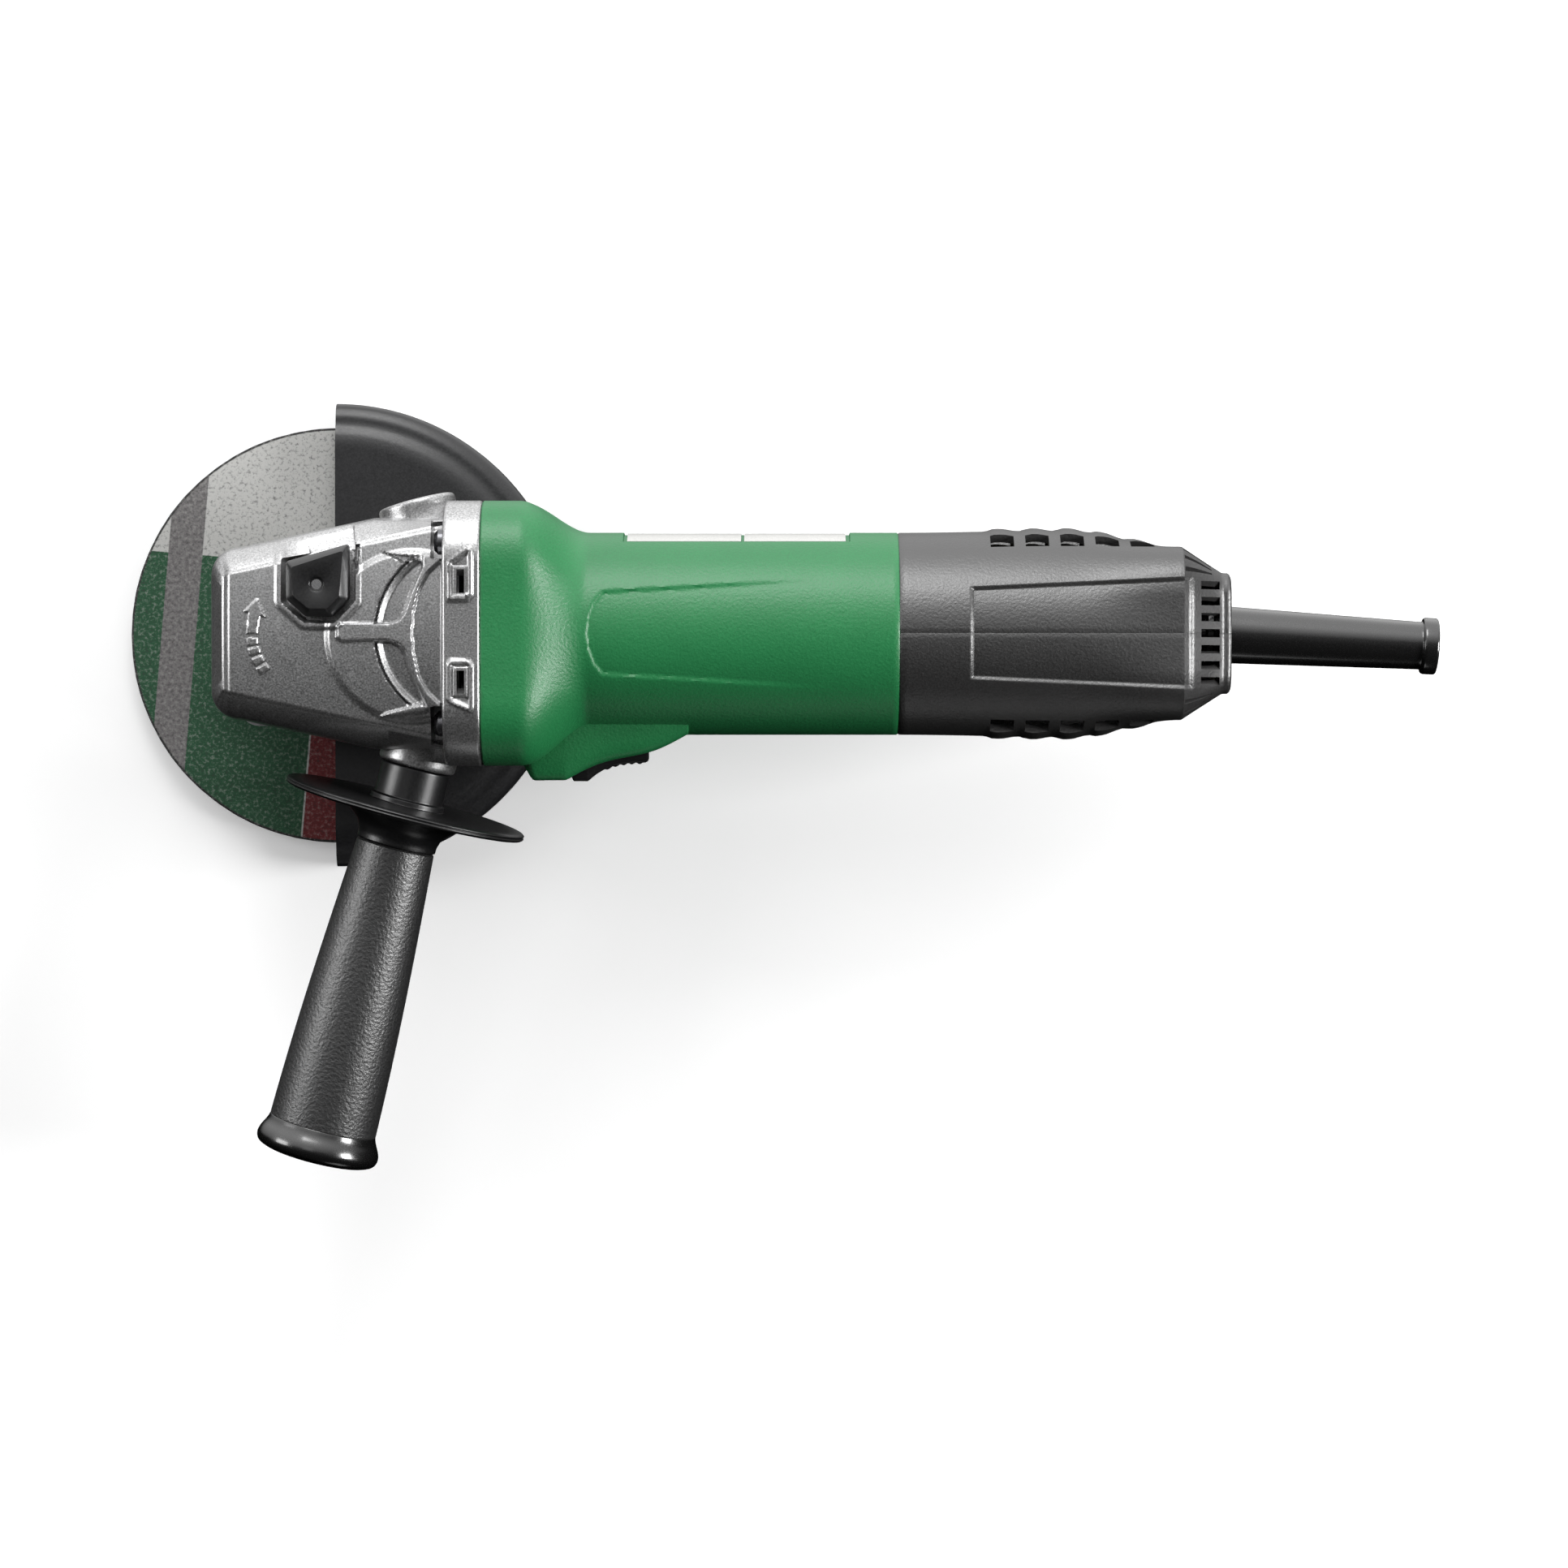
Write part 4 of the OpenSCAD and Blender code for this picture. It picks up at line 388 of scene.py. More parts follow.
CRESCENT = [(17.4, 2.6), (17.5, 4.0), (18.6, 8.6), (20.8, 13.5), (24.2, 18.1), (26.3, 20.3), (28.6, 20.9), (30.8, 20.2),
            (31.0, 19.0), (29.4, 15.3), (27.7, 11.2), (26.9, 8.6), (26.0, 5.8), (24.4, 3.7), (21.8, 2.6)]
PRONG = [(18.2, -23.6), (21.6, -22.2), (26.9, -20.9), (31.2, -20.0), (33.0, -21.2), (32.0, -22.9), (26.0, -23.6),
         (19.0, -24.7)]
GROOVE = [(18.4, 23.2), (25.0, 22.4), (30.6, 22.1), (30.6, 21.4), (28.0, 20.9), (25.6, 19.6), (24.4, 20.6)]
SLIT = [(11.9, 25.3), (13.4, 25.3), (12.5, 18.0), (11.6, 15.8)]


def half_top(x):
    """Half width of the flat top: widens evenly towards the rear."""
    return 18.4 + 0.214 * (x + 23.3)


def head_top(x, y):
    """Height of the cast top.

    A gently rising plane, plus a step up inside a circle behind the arrow, plus the T-shaped rib, less the two
    crescents, plus the arrow and its tail, less the button pocket, crowned across and eased off along the front and
    side edges."""
    z = 83.9 + 0.055 * (x + 26.0)
    z = z + 1.25 * ease((25.3 - np.hypot(x - 28.0, y + 1.0)) / 2.2)
    z = z + 1.15 * ease((depth_inside(T_RIB, x, y) + 0.1) / 0.85)
    away = 26.7 - np.hypot(x - 44.0, np.abs(y))
    floor = -0.35 - 1.25 * ease((away - 0.7) / 2.0) - 1.5 * ease((0.75 - away) / 0.3)
    z = z + floor * ease((depth_inside(CRESCENT, x, np.abs(y)) + 0.05) / 0.4)
    z = z + 1.1 * ease(depth_inside(PRONG, x, y) / 0.8) - 1.6 * ease(depth_inside(GROOVE, x, y) / 0.5)
    z = z - 2.2 * ease(depth_inside(SLIT, x, y) / 0.35)
    z = z + 0.5 * ease(depth_inside(ARROW, x, y) / 0.35)
    r, turn = np.hypot(x, y), np.degrees(np.arctan2(-y, -x))
    for k in range(4):
        start = 4.2 + 9.1 * k
        inside = np.minimum(np.minimum(r - 16.1, 19.4 - r), np.minimum(turn - start, start + 7.2 - turn) * 0.31)
        z = z + 0.5 * ease(inside / 0.35)
    hollow = depth_inside(BUTTON, x, y)
    z = z + 0.55 * ease((hollow + 4.0) / 1.2) * ease((-1.4 - hollow) / 0.3)
    z = z + (78.8 - z) * ease((hollow + 1.75) / 0.8)
    for side in (-1, 1):
        reach = side * y - 26.0
        well = np.where(reach > 0, 76.6, 81.5 - np.sqrt(np.clip(4.9 ** 2 - reach ** 2, 0, None)))
        z = np.where((reach > -4.9) & (x > 33.6), np.minimum(z, well), z)
    z = z - 2.2 * (y / 28.0) ** 2
    edge = half_top(x) - np.abs(y)
    z = z - 0.9 * ease((1.7 - edge) / 1.7) - 2.0 * ease((-23.6 - x) / 3.0) ** 1.5
    return z + 0.8 * ease((x - 36.2) / 0.5) * (np.abs(y) < 20)


def gear_case_head():
    """The head as a top grid with a skirt of rows that run down from its edge to the waist and in to the foot."""
    xs = np.linspace(-26.6, 37.4, 176)
    v = np.linspace(-1, 1, 161)
    x = np.repeat(xs[:, None], len(v), 1)
    y = half_top(x) * v[None, :]
    top = np.stack([x, y, head_top(x, y)], -1)
    rim = np.concatenate([top[::-1, -1], top[0, -2:0:-1], top[:, 0]])
    count = (len(xs), len(v) - 2)
    along = (rim[:, 0] + 26.6) / 64.0
    front = np.zeros(len(rim), bool)
    front[count[0]:count[0] + count[1]] = True
    sign = np.sign(rim[:, 1] + 1e-9)
    side_x = -28.66 + along * (37.4 + 28.66)
    side_w = np.where(side_x < -23, 17 + np.sqrt(np.clip(64 - (side_x + 23) ** 2, 0, None)),
                      np.minimum(33.5, 25 + (side_x + 23) * 8.5 / 39))
    t = rim[:, 1] / half_top(-26.6)
    front_y = 22.66 * t
    front_x = np.where(np.abs(front_y) < 17, -31.0, -23 - np.sqrt(np.clip(64 - (np.abs(front_y) - 17) ** 2, 0, None)))
    waist = np.stack([np.where(front, front_x, side_x), np.where(front, front_y, sign * side_w)], -1)
    foot_x = -21.2 + along * (37.4 + 21.2)
    foot_y = np.maximum(np.sqrt(np.clip(900 - foot_x ** 2, 0, None)), np.where(foot_x > 0, 24.0, 0.0))
    foot = np.stack([np.where(front, -np.sqrt(900 - (21.2 * t).clip(-29.9, 29.9) ** 2), foot_x),
                     np.where(front, 21.2 * t, sign * foot_y)], -1)

    def level(xy, z):
        return np.c_[xy, np.full(len(xy), z)]

    mid = waist * [0.985, 0.97]
    rows = softened(np.array([rim, level(mid, 74.5), level(waist, 66.0), level(waist, 46.0), level(foot, 36.5),
                              level(foot, 33.0)]), [0, 3.0, 4.0, 6.0, 1.6, 0], 4, closed=False)
    return [sheet(top), sheet(rows)]


def handle_axis(side):
    """Unit direction of a side handle: out to its side, leaning forward and drooping."""
    flat = math.cos(HANDLE_DROOP)
    return np.array([-math.sin(HANDLE_LEAN) * flat, side * math.cos(HANDLE_LEAN) * flat, -math.sin(HANDLE_DROOP)])


def boss_face(side):
    """Middle of the flat face of a side handle's boss."""
    return np.array([27.1, side * 38.5, MOTOR_Z])


def handle_boss(side):
    """A boss turned about the handle axis: hollow flare out of the casting, round lip, flat face, blind bore."""
    h = np.linspace(-17.0, -3.2, 16)
    flare = [(11.3 + 6.2 * ((-3.2 - k) / 13.8) ** 2.2, k) for k in h]
    face = softened([(11.3, -3.2), (11.4, 0), (4.9, 0), (4.05, -0.8), (4.05, -15), (0, -15)],
                    [0, 1.5, 0.3, 0.2, 0.1, 0], 5, closed=False)
    profile = [(0.0, -17.0)] + flare + [tuple(p) for p in face]
    return turned(profile, boss_face(side), handle_axis(side), 112, closed=False)


piece("gear_case_head", gear_case_head(), "silver_paint", "housing", ["gear_case"], thickness=CASE_WALL)
piece("gear_case_bosses", [handle_boss(-1), handle_boss(1)], "silver_paint", "housing")


# ---------- bodies round the motor axis ----------

def square_reach(angle, width, height, corner):
    """Distance from the middle of a round-cornered rectangle to its edge, along an angle from +Y towards +Z."""
    c, s = np.abs(np.cos(angle)), np.abs(np.sin(angle))
    a, b = width / 2, height / 2
    t = np.minimum(a / np.maximum(c, 1e-9), b / np.maximum(s, 1e-9))
    cy, cz = a - corner, b - corner
    dot = c * cy + s * cz
    arc = dot + np.sqrt(np.clip(dot ** 2 - (cy ** 2 + cz ** 2 - corner ** 2), 0, None))
    return np.where((t * c > cy) & (t * s > cz), arc, t)


def rings(xs, reach, tops, sides, corner=10, bottoms=None, top_scale=lambda x: 1.0, side_scale=lambda x: 1.0):
    """A row of column angles for each x.

    Columns over the top and bottom keep their y, columns on the two sides keep their z, each times its scale at
    that x, and the columns of each corner share out the angle that is left. Angles rise from the right side over
    the top."""
    bottoms = tops if bottoms is None else bottoms
    half = np.linspace(0, np.pi, 1441)
    near = half - np.pi / 2
    rows = []
    for x in xs:
        wide, high = top_scale(x), side_scale(x)
        top = np.interp(-tops[::-1] * wide, -reach(x, half) * np.cos(half), half)
        low = np.interp(bottoms * wide, -reach(x, half + np.pi) * np.cos(half), half) + np.pi
        right = np.interp(sides * high, reach(x, near) * np.sin(near), near)
        left = np.interp(sides * high, reach(x, near + np.pi) * np.sin(near), near) + np.pi
        share = np.linspace(0, 1, corner + 2)[1:-1]
        gaps = [(right[-1], top[0]), (top[-1], left[0]), (left[-1], low[0]), (low[-1], right[0] + 2 * np.pi)]
        fill = [a + (b - a) * share for a, b in gaps]
        rows.append(np.concatenate([right, fill[0], top, fill[1], left, fill[2], low, fill[3]]))
    return np.array(rows)


def around_motor(xs, angle, radius):
    """Points at (x, radius * cos angle, motor height + radius * sin angle)."""
    x = np.broadcast_to(np.asarray(xs, float)[:, None], angle.shape)
    return np.stack([x, radius * np.cos(angle), MOTOR_Z + radius * np.sin(angle)], -1)


def mesh_lines(low, high, step, *extra):
    """Even spacing from low to high, with extra lines put in and near neighbours of those taken out."""
    even = np.linspace(low, high, max(2, int(round((high - low) / step)) + 1))
    extra = np.array(sorted(extra), float)
    if len(extra):
        clear = np.abs(even[:, None] - extra[None, :]).min(1) > 0.3 * step
        even = np.concatenate([even[clear | (even == low) | (even == high)], extra])
    return np.unique(np.round(even, 5))


BAND_SLOTS = (14.4, -13.9)
SLOT_X, SLOT_HALF_W, SLOT_HALF_L = 42.3, 1.1, 3.3
BEZELS = ([(38.3, 8.7), (44.4, 8.7), (46.1, 10.6), (46.1, 23.2), (45.2, 24.4), (43.0, 23.6), (38.7, 20.4),
           (38.2, 19.4)],
          [(38.2, -8.6), (39.4, -7.3), (45.0, -7.5), (46.2, -9.0), (46.2, -21.6), (45.4, -22.7), (39.0, -20.0),
           (38.2, -18.8)])


def gear_case_band():
    """The band: a round-cornered square ring with raised bezels round its exhaust slots, top and bottom."""
    xs = mesh_lines(BAND_X0, BAND_X1, 0.42, 41.2, 43.4, 37.3, 47.5)
    tops = mesh_lines(-25.5, 25.5, 0.46, *[y + d for y in BAND_SLOTS for d in (-SLOT_HALF_L, SLOT_HALF_L)])
    sides = mesh_lines(-19, 19, 2.2)

    def reach(x, a):
        return square_reach(a, *BAND_SIZE)

    angle = rings(xs, reach, tops, sides, 12)
    radius = reach(0, angle)
    x = xs[:, None] + 0 * angle
    y = radius * np.cos(angle)
    flat = np.abs(np.sin(angle)) > 0.55
    lift = np.zeros_like(y)
    for bezel, slot in zip(BEZELS, BAND_SLOTS):
        inside = depth_inside(bezel, x, y)
        lift = lift + 0.85 * ease(inside / 0.6) - 0.75 * ease((inside - 1.3) / 0.5)
        rim = np.maximum(np.abs(x - SLOT_X) - SLOT_HALF_W, np.abs(y - slot) - SLOT_HALF_L)
        lift = lift + 0.5 * ease((1.25 - rim) / 0.5) * (inside > 0)
    radius = radius + np.where(flat, lift / np.maximum(np.abs(np.sin(angle)), 0.5), 0)
    edge = np.minimum(x - BAND_X0, BAND_X1 - x)
    radius = radius - 0.7 * ease((0.5 - edge) / 0.5)
    inner = np.minimum(radius - 3.0, square_reach(angle, 70.2, 66.0, 15.0))
    keep = np.ones((len(xs) - 1, angle.shape[1]), bool)
    cx = (xs[1:] + xs[:-1])[:, None] / 2
    cy = (y[0] + np.roll(y[0], -1))[None, :] / 2
    for slot in BAND_SLOTS:
        keep &= ~((np.abs(cx - SLOT_X) < SLOT_HALF_W) & (np.abs(cy - slot) < SLOT_HALF_L)
                  & (np.abs(np.sin(angle[:1])) > 0.55))
    return [walled(around_motor(xs, angle, radius), around_motor(xs, angle, inner), keep)]


piece("gear_case_band", gear_case_band(), "silver_paint", "housing")

PLATE_X = (87.8, 153.2)
PLATE_Z = GRIP_R * math.sin(math.radians(25.5))
PLATE_DEPTH, STEP = 0.7, 0.12
KNOB_WELL, KNOB_WELL_Z, KNOB_WELL_Y = (64.7, 96.1), 8.2, 29.35
# Mesh lines on both sides of the well's walls, so that the walls are steep
WELL_FRONT, WELL_REAR, WELL_SIDES = (64.55, 64.8), (96.0, 96.3), (-8.35, -8.1, 8.1, 8.35)
WINDOW_X, WINDOW_HALF_Z = (81.4, 93.4), 2.6
TONGUE_END, TONGUE_DEPTH = 151, 0.6
TONGUE = [(77.8, 0), (78.3, 4.5), (79.8, 8.8), (82.3, 11.9), (152, 15.9),
          (152, -15.9), (82.3, -11.9), (79.8, -8.8), (78.3, -4.5)]


def housing_reach(x, a):
    """From the band's round square to the round grip along an eased slope."""
    f = ease((x - 58.5) / 19.5)
    return square_reach(a, *BAND_SIZE) * (1 - f) + GRIP_R * f


def motor_housing():
    """Green shell: eased flare, round grip, sunken tongue on top, recess for the plates, well under the switch knob
    and window for its bar."""
    xs = np.unique(np.concatenate([
        mesh_lines(BAND_X1, 60, 1.2, 48.2), mesh_lines(60, 76, 0.8, *WELL_FRONT),
        mesh_lines(76, 92, 0.5, PLATE_X[0] - STEP, PLATE_X[0] + STEP),
        mesh_lines(92, HOUSING_END, 1.9, *WELL_REAR, PLATE_X[1] - STEP, PLATE_X[1] + STEP, 166.9)]))
    tops = mesh_lines(-17, 17, 0.55)
    sides = mesh_lines(-14.2, 14.2, 1.1, -PLATE_Z - STEP, -PLATE_Z + STEP, PLATE_Z - STEP, PLATE_Z + STEP,
                       -WINDOW_HALF_Z, WINDOW_HALF_Z, *WELL_SIDES)
    angle = rings(xs, housing_reach, tops, sides, 10, bottoms=mesh_lines(-17, 17, 1.3))
    x = xs[:, None] + 0 * angle
    radius = housing_reach(x, angle)
    y, z = radius * np.cos(angle), radius * np.sin(angle)
    tongue = ease((depth_inside(TONGUE, x, y) + 0.25) / 0.6) * ease((TONGUE_END - x) / 40)
    radius = radius - np.where(z > 0, TONGUE_DEPTH * tongue, 0)
    well = (x > KNOB_WELL[0]) & (x < KNOB_WELL[1]) & (np.abs(z) < KNOB_WELL_Z) & (y < 0)
    sunk = np.maximum(y, -KNOB_WELL_Y)
    angle, radius = np.where(well, np.arctan2(z, sunk), angle), np.where(well, np.hypot(sunk, z), radius)
    recess = (x > PLATE_X[0]) & (x < PLATE_X[1]) & (np.abs(z) < PLATE_Z) & (y > 0)
    radius = radius - PLATE_DEPTH * recess
    radius = radius - 0.35 * ease((48.2 - x) / 0.4) - 0.3 * ease((x - 166.9) / 0.4)
    inner = np.where(x < 72, np.minimum(radius - GRIP_WALL, 35.2), radius - GRIP_WALL)
    cx = (xs[1:] + xs[:-1])[:, None] / 2
    zc, yc = (z + np.roll(z, -1, 1)) / 2, (y + np.roll(y, -1, 1)) / 2
    keep = ~((cx > WINDOW_X[0]) & (cx < WINDOW_X[1]) & (np.abs(zc[1:]) < WINDOW_HALF_Z) & (yc[1:] < 0))
    return [walled(around_motor(xs, angle, radius), around_motor(xs, angle, inner), keep)]


STOP_X, STOP_HALF_Z, STOP_NOSE = (56.5, 107.0), 13.4, 71.0


def hand_stop():
    """The hump round the switch knob, as y over an (x, z) grid, with the knob's well sunk in it.

    Its crest rises fast at the front and falls in a waved slope to the grip; top and bottom edges are rounded."""
    xs = np.unique(np.concatenate([mesh_lines(*STOP_X, 0.7), WELL_FRONT, WELL_REAR]))
    zs = np.unique(np.concatenate([mesh_lines(-STOP_HALF_Z, STOP_HALF_Z, 0.6), WELL_SIDES]))
    x, z = np.meshgrid(xs, zs, indexing="ij")
    t = np.clip((x - STOP_NOSE) / (106.2 - STOP_NOSE), 0, 1)
    crest = np.where(x < STOP_NOSE, 37.2 + 5.4 * ease((x - 57.5) / 4.5), 42.6 - 13.4 * t - 1.1 * np.sin(2 * np.pi * t))
    base = np.sqrt(27.9 ** 2 - z ** 2)
    side = np.clip(1 - (np.abs(z) / STOP_HALF_Z) ** 9, 0, 1) ** 0.5
    y = base + np.maximum(crest - base, 0.0) * side
    well = (x > KNOB_WELL[0]) & (x < KNOB_WELL[1]) & (np.abs(z) < KNOB_WELL_Z)
    y = np.where(well, np.minimum(y, KNOB_WELL_Y), y)
    end = (x <= xs[0]) | (x >= xs[-1])
    y = np.where(end, base, y)
    outer = np.stack([x, -y, MOTOR_Z + z], -1)
    inner = np.stack([x, -base + 0.02, MOTOR_Z + z], -1)
    return walled(outer, inner, around_v=False)


piece("motor_housing_shell", motor_housing() + [hand_stop()], "green_plastic", "housing", ["motor_housing"])

# ---------- tail cover ----------

PANEL = [(187.7, 13.3), (187.7, -13.3), (251.2, -16.2), (251.2, 16.2)]
VENT_X, VENT_L = [193.7 + 10.1 * i for i in range(5)], 6.8
END_SLOTS, END_SLOT_HALF, END_SLOT_X = [(i - 3) * 4.6 for i in range(7)], 1.2, (253.8, 259.7)
SLIT_X = (249.0, 257.6)
TAIL_WALL, SLEEVE_HOLE_R, TAIL_CORNER = 2.4, 8.75, 9
HALVES_GAP = 0.02  # from the middle plane to each half
PANEL_SPREAD = 0.218  # how much wider the panel's rear end is than its front, as a share


def tail_reach(x, a):
    """Round grip, slightly fuller in the middle, then a round-cornered square, then a smaller one at the end."""
    full = GRIP_R + 0.6 * ease((x - HOUSING_END) / 46.0)
    mid = square_reach(a, 50.0, 57.8, 14.0)
    end = square_reach(a, 35.0, 30.0, 6.0)
    f = ease((x - 216.0) / 34.0)
    g = np.clip((x - 248.6) / 12.2, 0, 1)
    return (full * (1 - f) + mid * f) * (1 - g) + end * g


def tail_half(side):
    """One half of the tail: the shell on one side of the middle plane, with its vents, slots and end wall."""
    slot_lines = [(y + d) / (1 + PANEL_SPREAD) for y in END_SLOTS for d in (-END_SLOT_HALF, END_SLOT_HALF)]
    edge = np.arange(12.4, 13.5, 0.15)
    tops = np.unique(np.round(np.concatenate([mesh_lines(-12.2, 12.2, 0.8, 0.0, *slot_lines), edge, -edge,
                                              slot_lines]), 4))
    sides = mesh_lines(-16.6, 16.6, 1.6, -16.4, -10.6, -3.0, 10.6, 16.4)
    xs = np.unique(np.concatenate([mesh_lines(HOUSING_END, 186, 2.2, HOUSING_END + 0.4), mesh_lines(186, 190, 0.5),
                                   mesh_lines(190, 247, 1.6, *[v + d for v in VENT_X for d in (0, VENT_L)]),
                                   mesh_lines(247, 262.3, 0.55, SLIT_X[0], *END_SLOT_X)]))
    angle = rings(xs, tail_reach, tops, sides, TAIL_CORNER,
                  top_scale=lambda x: 1 + PANEL_SPREAD * np.clip((x - PANEL[0][0]) / 63.5, 0, 1),
                  side_scale=lambda x: 1 - 0.27 * ease((x - 243) / 12))
    wide = len(sides) + TAIL_CORNER
    crown = wide + int(np.argmin(np.abs(tops[::-1])))
    bottom = 2 * wide + len(tops) + TAIL_CORNER + int(np.argmin(np.abs(tops)))
    count = angle.shape[1]
    if side > 0:
        columns = (np.arange(bottom, crown + count + 1)) % count
    else:
        columns = np.arange(crown, bottom + 1)
    corner = np.zeros(count, bool)
    for s in (len(sides), wide + len(tops), 2 * wide + len(tops), 2 * (wide + len(tops)) + TAIL_CORNER):
        corner[[s + 1, s + 4, s + 7]] = True
    angle, corner = angle[:, columns], corner[columns]
    x = xs[:, None] + 0 * angle
    radius = tail_reach(x, angle)
    y, z = radius * np.cos(angle), radius * np.sin(angle)
    radius = radius - np.where(z > 0, 0.95 * ease((depth_inside(PANEL, x, y) + 0.1) / 1.0), 0)
    gill = 0
    for v in VENT_X:
        gill = gill + ease((x - v + 1.5) / 3.0) * ease((v + 8.6 - x) / 5.5)
    flank = np.abs(y) > 18
    radius = radius + np.where(flank, 0.75 * gill * ease((15.5 - np.abs(z)) / 5.0), 0)
    radius = radius - 0.3 * ease((HOUSING_END + 0.4 - x) / 0.4)
    radius = radius - 0.22 * ease((0.5 - np.abs(y)) / 0.5)
    inner = radius - TAIL_WALL
    rows_out, rows_in = around_motor(xs, angle, radius), around_motor(xs, angle, inner)
    last_a, last_r = angle[-1:], radius[-1:]
    for share, xo in ((0.04, 262.9), (0.12, TAIL_END), (0.35, TAIL_END), (0.62, TAIL_END), (0.86, TAIL_END), (1.0, 263.2)):
        r_out = last_r * (1 - share) + SLEEVE_HOLE_R * share
        r_in = np.maximum((last_r - TAIL_WALL) * (1 - share) + SLEEVE_HOLE_R * share, SLEEVE_HOLE_R)
        rows_out = np.concatenate([rows_out, around_motor([xo], last_a, r_out)])
        rows_in = np.concatenate([rows_in, around_motor([260.9], last_a, r_in)])
    for rows in (rows_out, rows_in):
        rows[:, [0, -1], 1] = side * HALVES_GAP
    cells = (len(rows_out) - 1, len(columns) - 1)
    keep = np.ones(cells, bool)
    cx = (rows_out[1:, :-1, 0] + rows_out[:-1, :-1, 0]) / 2
    mid = (rows_out[1:, 1:] + rows_out[:-1, :-1]) / 2
    cy, cz = mid[..., 1], mid[..., 2] - MOTOR_Z
    for v in VENT_X:
        band = ((cz > 10.6) & (cz < 16.4)) | ((cz < -3.0) & (cz > -10.6))
        keep &= ~((cx > v) & (cx < v + VENT_L) & band & (np.abs(cy) > 18))
    for s in END_SLOTS:
        keep &= ~((cx > END_SLOT_X[0]) & (cx < END_SLOT_X[1]) & (np.abs(cy - s) < END_SLOT_HALF) & (cz > 12))
    slit = corner[:-1]
    keep &= ~((cx > SLIT_X[0]) & (cx < SLIT_X[1]) & slit[None, :] & (cz > 0))
    return [walled(rows_out, rows_in, keep, around_v=False)]


for side, name in ((-1, "left"), (1, "right")):
    piece("tail_shell_" + name, tail_half(side), "dark_grey_plastic", "housing", ["tail_cover_" + name])


def cord_sleeve():
    """Tapered sleeve turned about its own tilted axis: flange inside, root, slow taper, rounded lip, open bore."""
    tilt = math.radians(3.2)
    axis = (math.cos(tilt), -math.sin(tilt), 0)
    profile = softened([(4.2, -6), (6.4, -6), (6.4, -1.2), (11, -1.2), (11, 0.8), (8.35, 0.8), (8.35, 2.9), (7.7, 30),
                        (6.95, 61.2), (7.0, 61.9), (8.25, 62.2), (8.25, 66.5), (4.2, 66.5)],
                       [0.3, 0.4, 0.3, 0.3, 0.3, 0.3, 1.0, 8, 0.4, 0.3, 0.8, 0.9, 0.6], 6)
    return [turned(profile, (257.8, 0, MOTOR_Z), axis, 96)]


piece("cord_sleeve_moulding", cord_sleeve(), "black_gloss", "housing", ["cord_sleeve"])

# ---------- side handle ----------

SEAT, DIRECTION = boss_face(-1), handle_axis(-1)


GRIP_START, GRIP_STOP = 24.4, 108.5


def grip_radius(u):
    """Slow swell: 11.5 mm at the neck to 15.8 mm at the cap, a straight taper mixed with a quarter sine."""
    t = (u - GRIP_START) / (GRIP_STOP - GRIP_START)
    return 11.5 + 4.3 * (0.35 * t + 0.65 * np.sin(np.pi / 2 * t))


def handle_parts():
    """Profiles of (radius, distance from the boss) for the neck with its shield, the core, the grip and the cap."""
    u = np.linspace(GRIP_START, GRIP_STOP, 60)
    neck = softened([(4.05, 0.3), (10.2, 0.3), (10.2, 9.6), (10.9, 9.9), (10.9, 11.5), (33.0, 11.3), (34.9, 11.5),
                     (35.7, 12.1), (35.2, 12.55), (35.7, 13.0), (34.9, 13.7), (30.0, 14.1), (17.6, 14.9), (12.9, 18.4),
                     (11.7, 21.8), (11.7, 23.6), (9.4, 24.0), (9.4, 30.0), (4.05, 30.0)],
                    [0.3, 0.6, 0.3, 0.3, 0.4, 1.0, 0.5, 0.4, 0.1, 0.4, 0.5, 1.5, 3.0, 2.5, 0.8, 0.3, 0.2, 0.2, 0.2], 6)
    core = [(4.05, 30.0), (9.4, 30.0), (13.0, 100.0), (13.0, GRIP_STOP), (9.0, 108.6), (9.0, 113.4), (4.05, 113.4)]
    grip = np.concatenate([[(grip_radius(GRIP_START) - 0.5, 23.9)], np.c_[grip_radius(u), u], [(15.2, 108.6)],
                           np.c_[grip_radius(u[::-1]) - 1.8, u[::-1]]])
    cap = softened([(9.05, 108.7), (15.75, 108.6), (16.3, 110.4), (17.7, 112.9), (18.3, 115.1), (17.5, 117.1),
                    (14.3, 118.4), (0, 119.0), (0, 113.5), (9.05, 113.5)],
                   [0.2, 0.25, 1.2, 1.4, 1.2, 1.2, 2.4, 0, 0, 0.2], 6)
    return neck, core, grip, cap


neck, core, grip, cap = handle_parts()
piece("handle_neck_and_shield", [turned(neck, SEAT, DIRECTION, 144), turned(core, SEAT, DIRECTION, 48)],
      "black_plastic", "side_handle", ["handle_core"])
piece("handle_grip_sleeve", [turned(grip, SEAT, DIRECTION, 144)], "handle_rubber", "side_handle", ["handle_grip"])
piece("handle_cap", [turned(cap, SEAT, DIRECTION, 144)], "black_gloss", "side_handle", ["handle_end_cap"])

# ---------- guard and wheel ----------


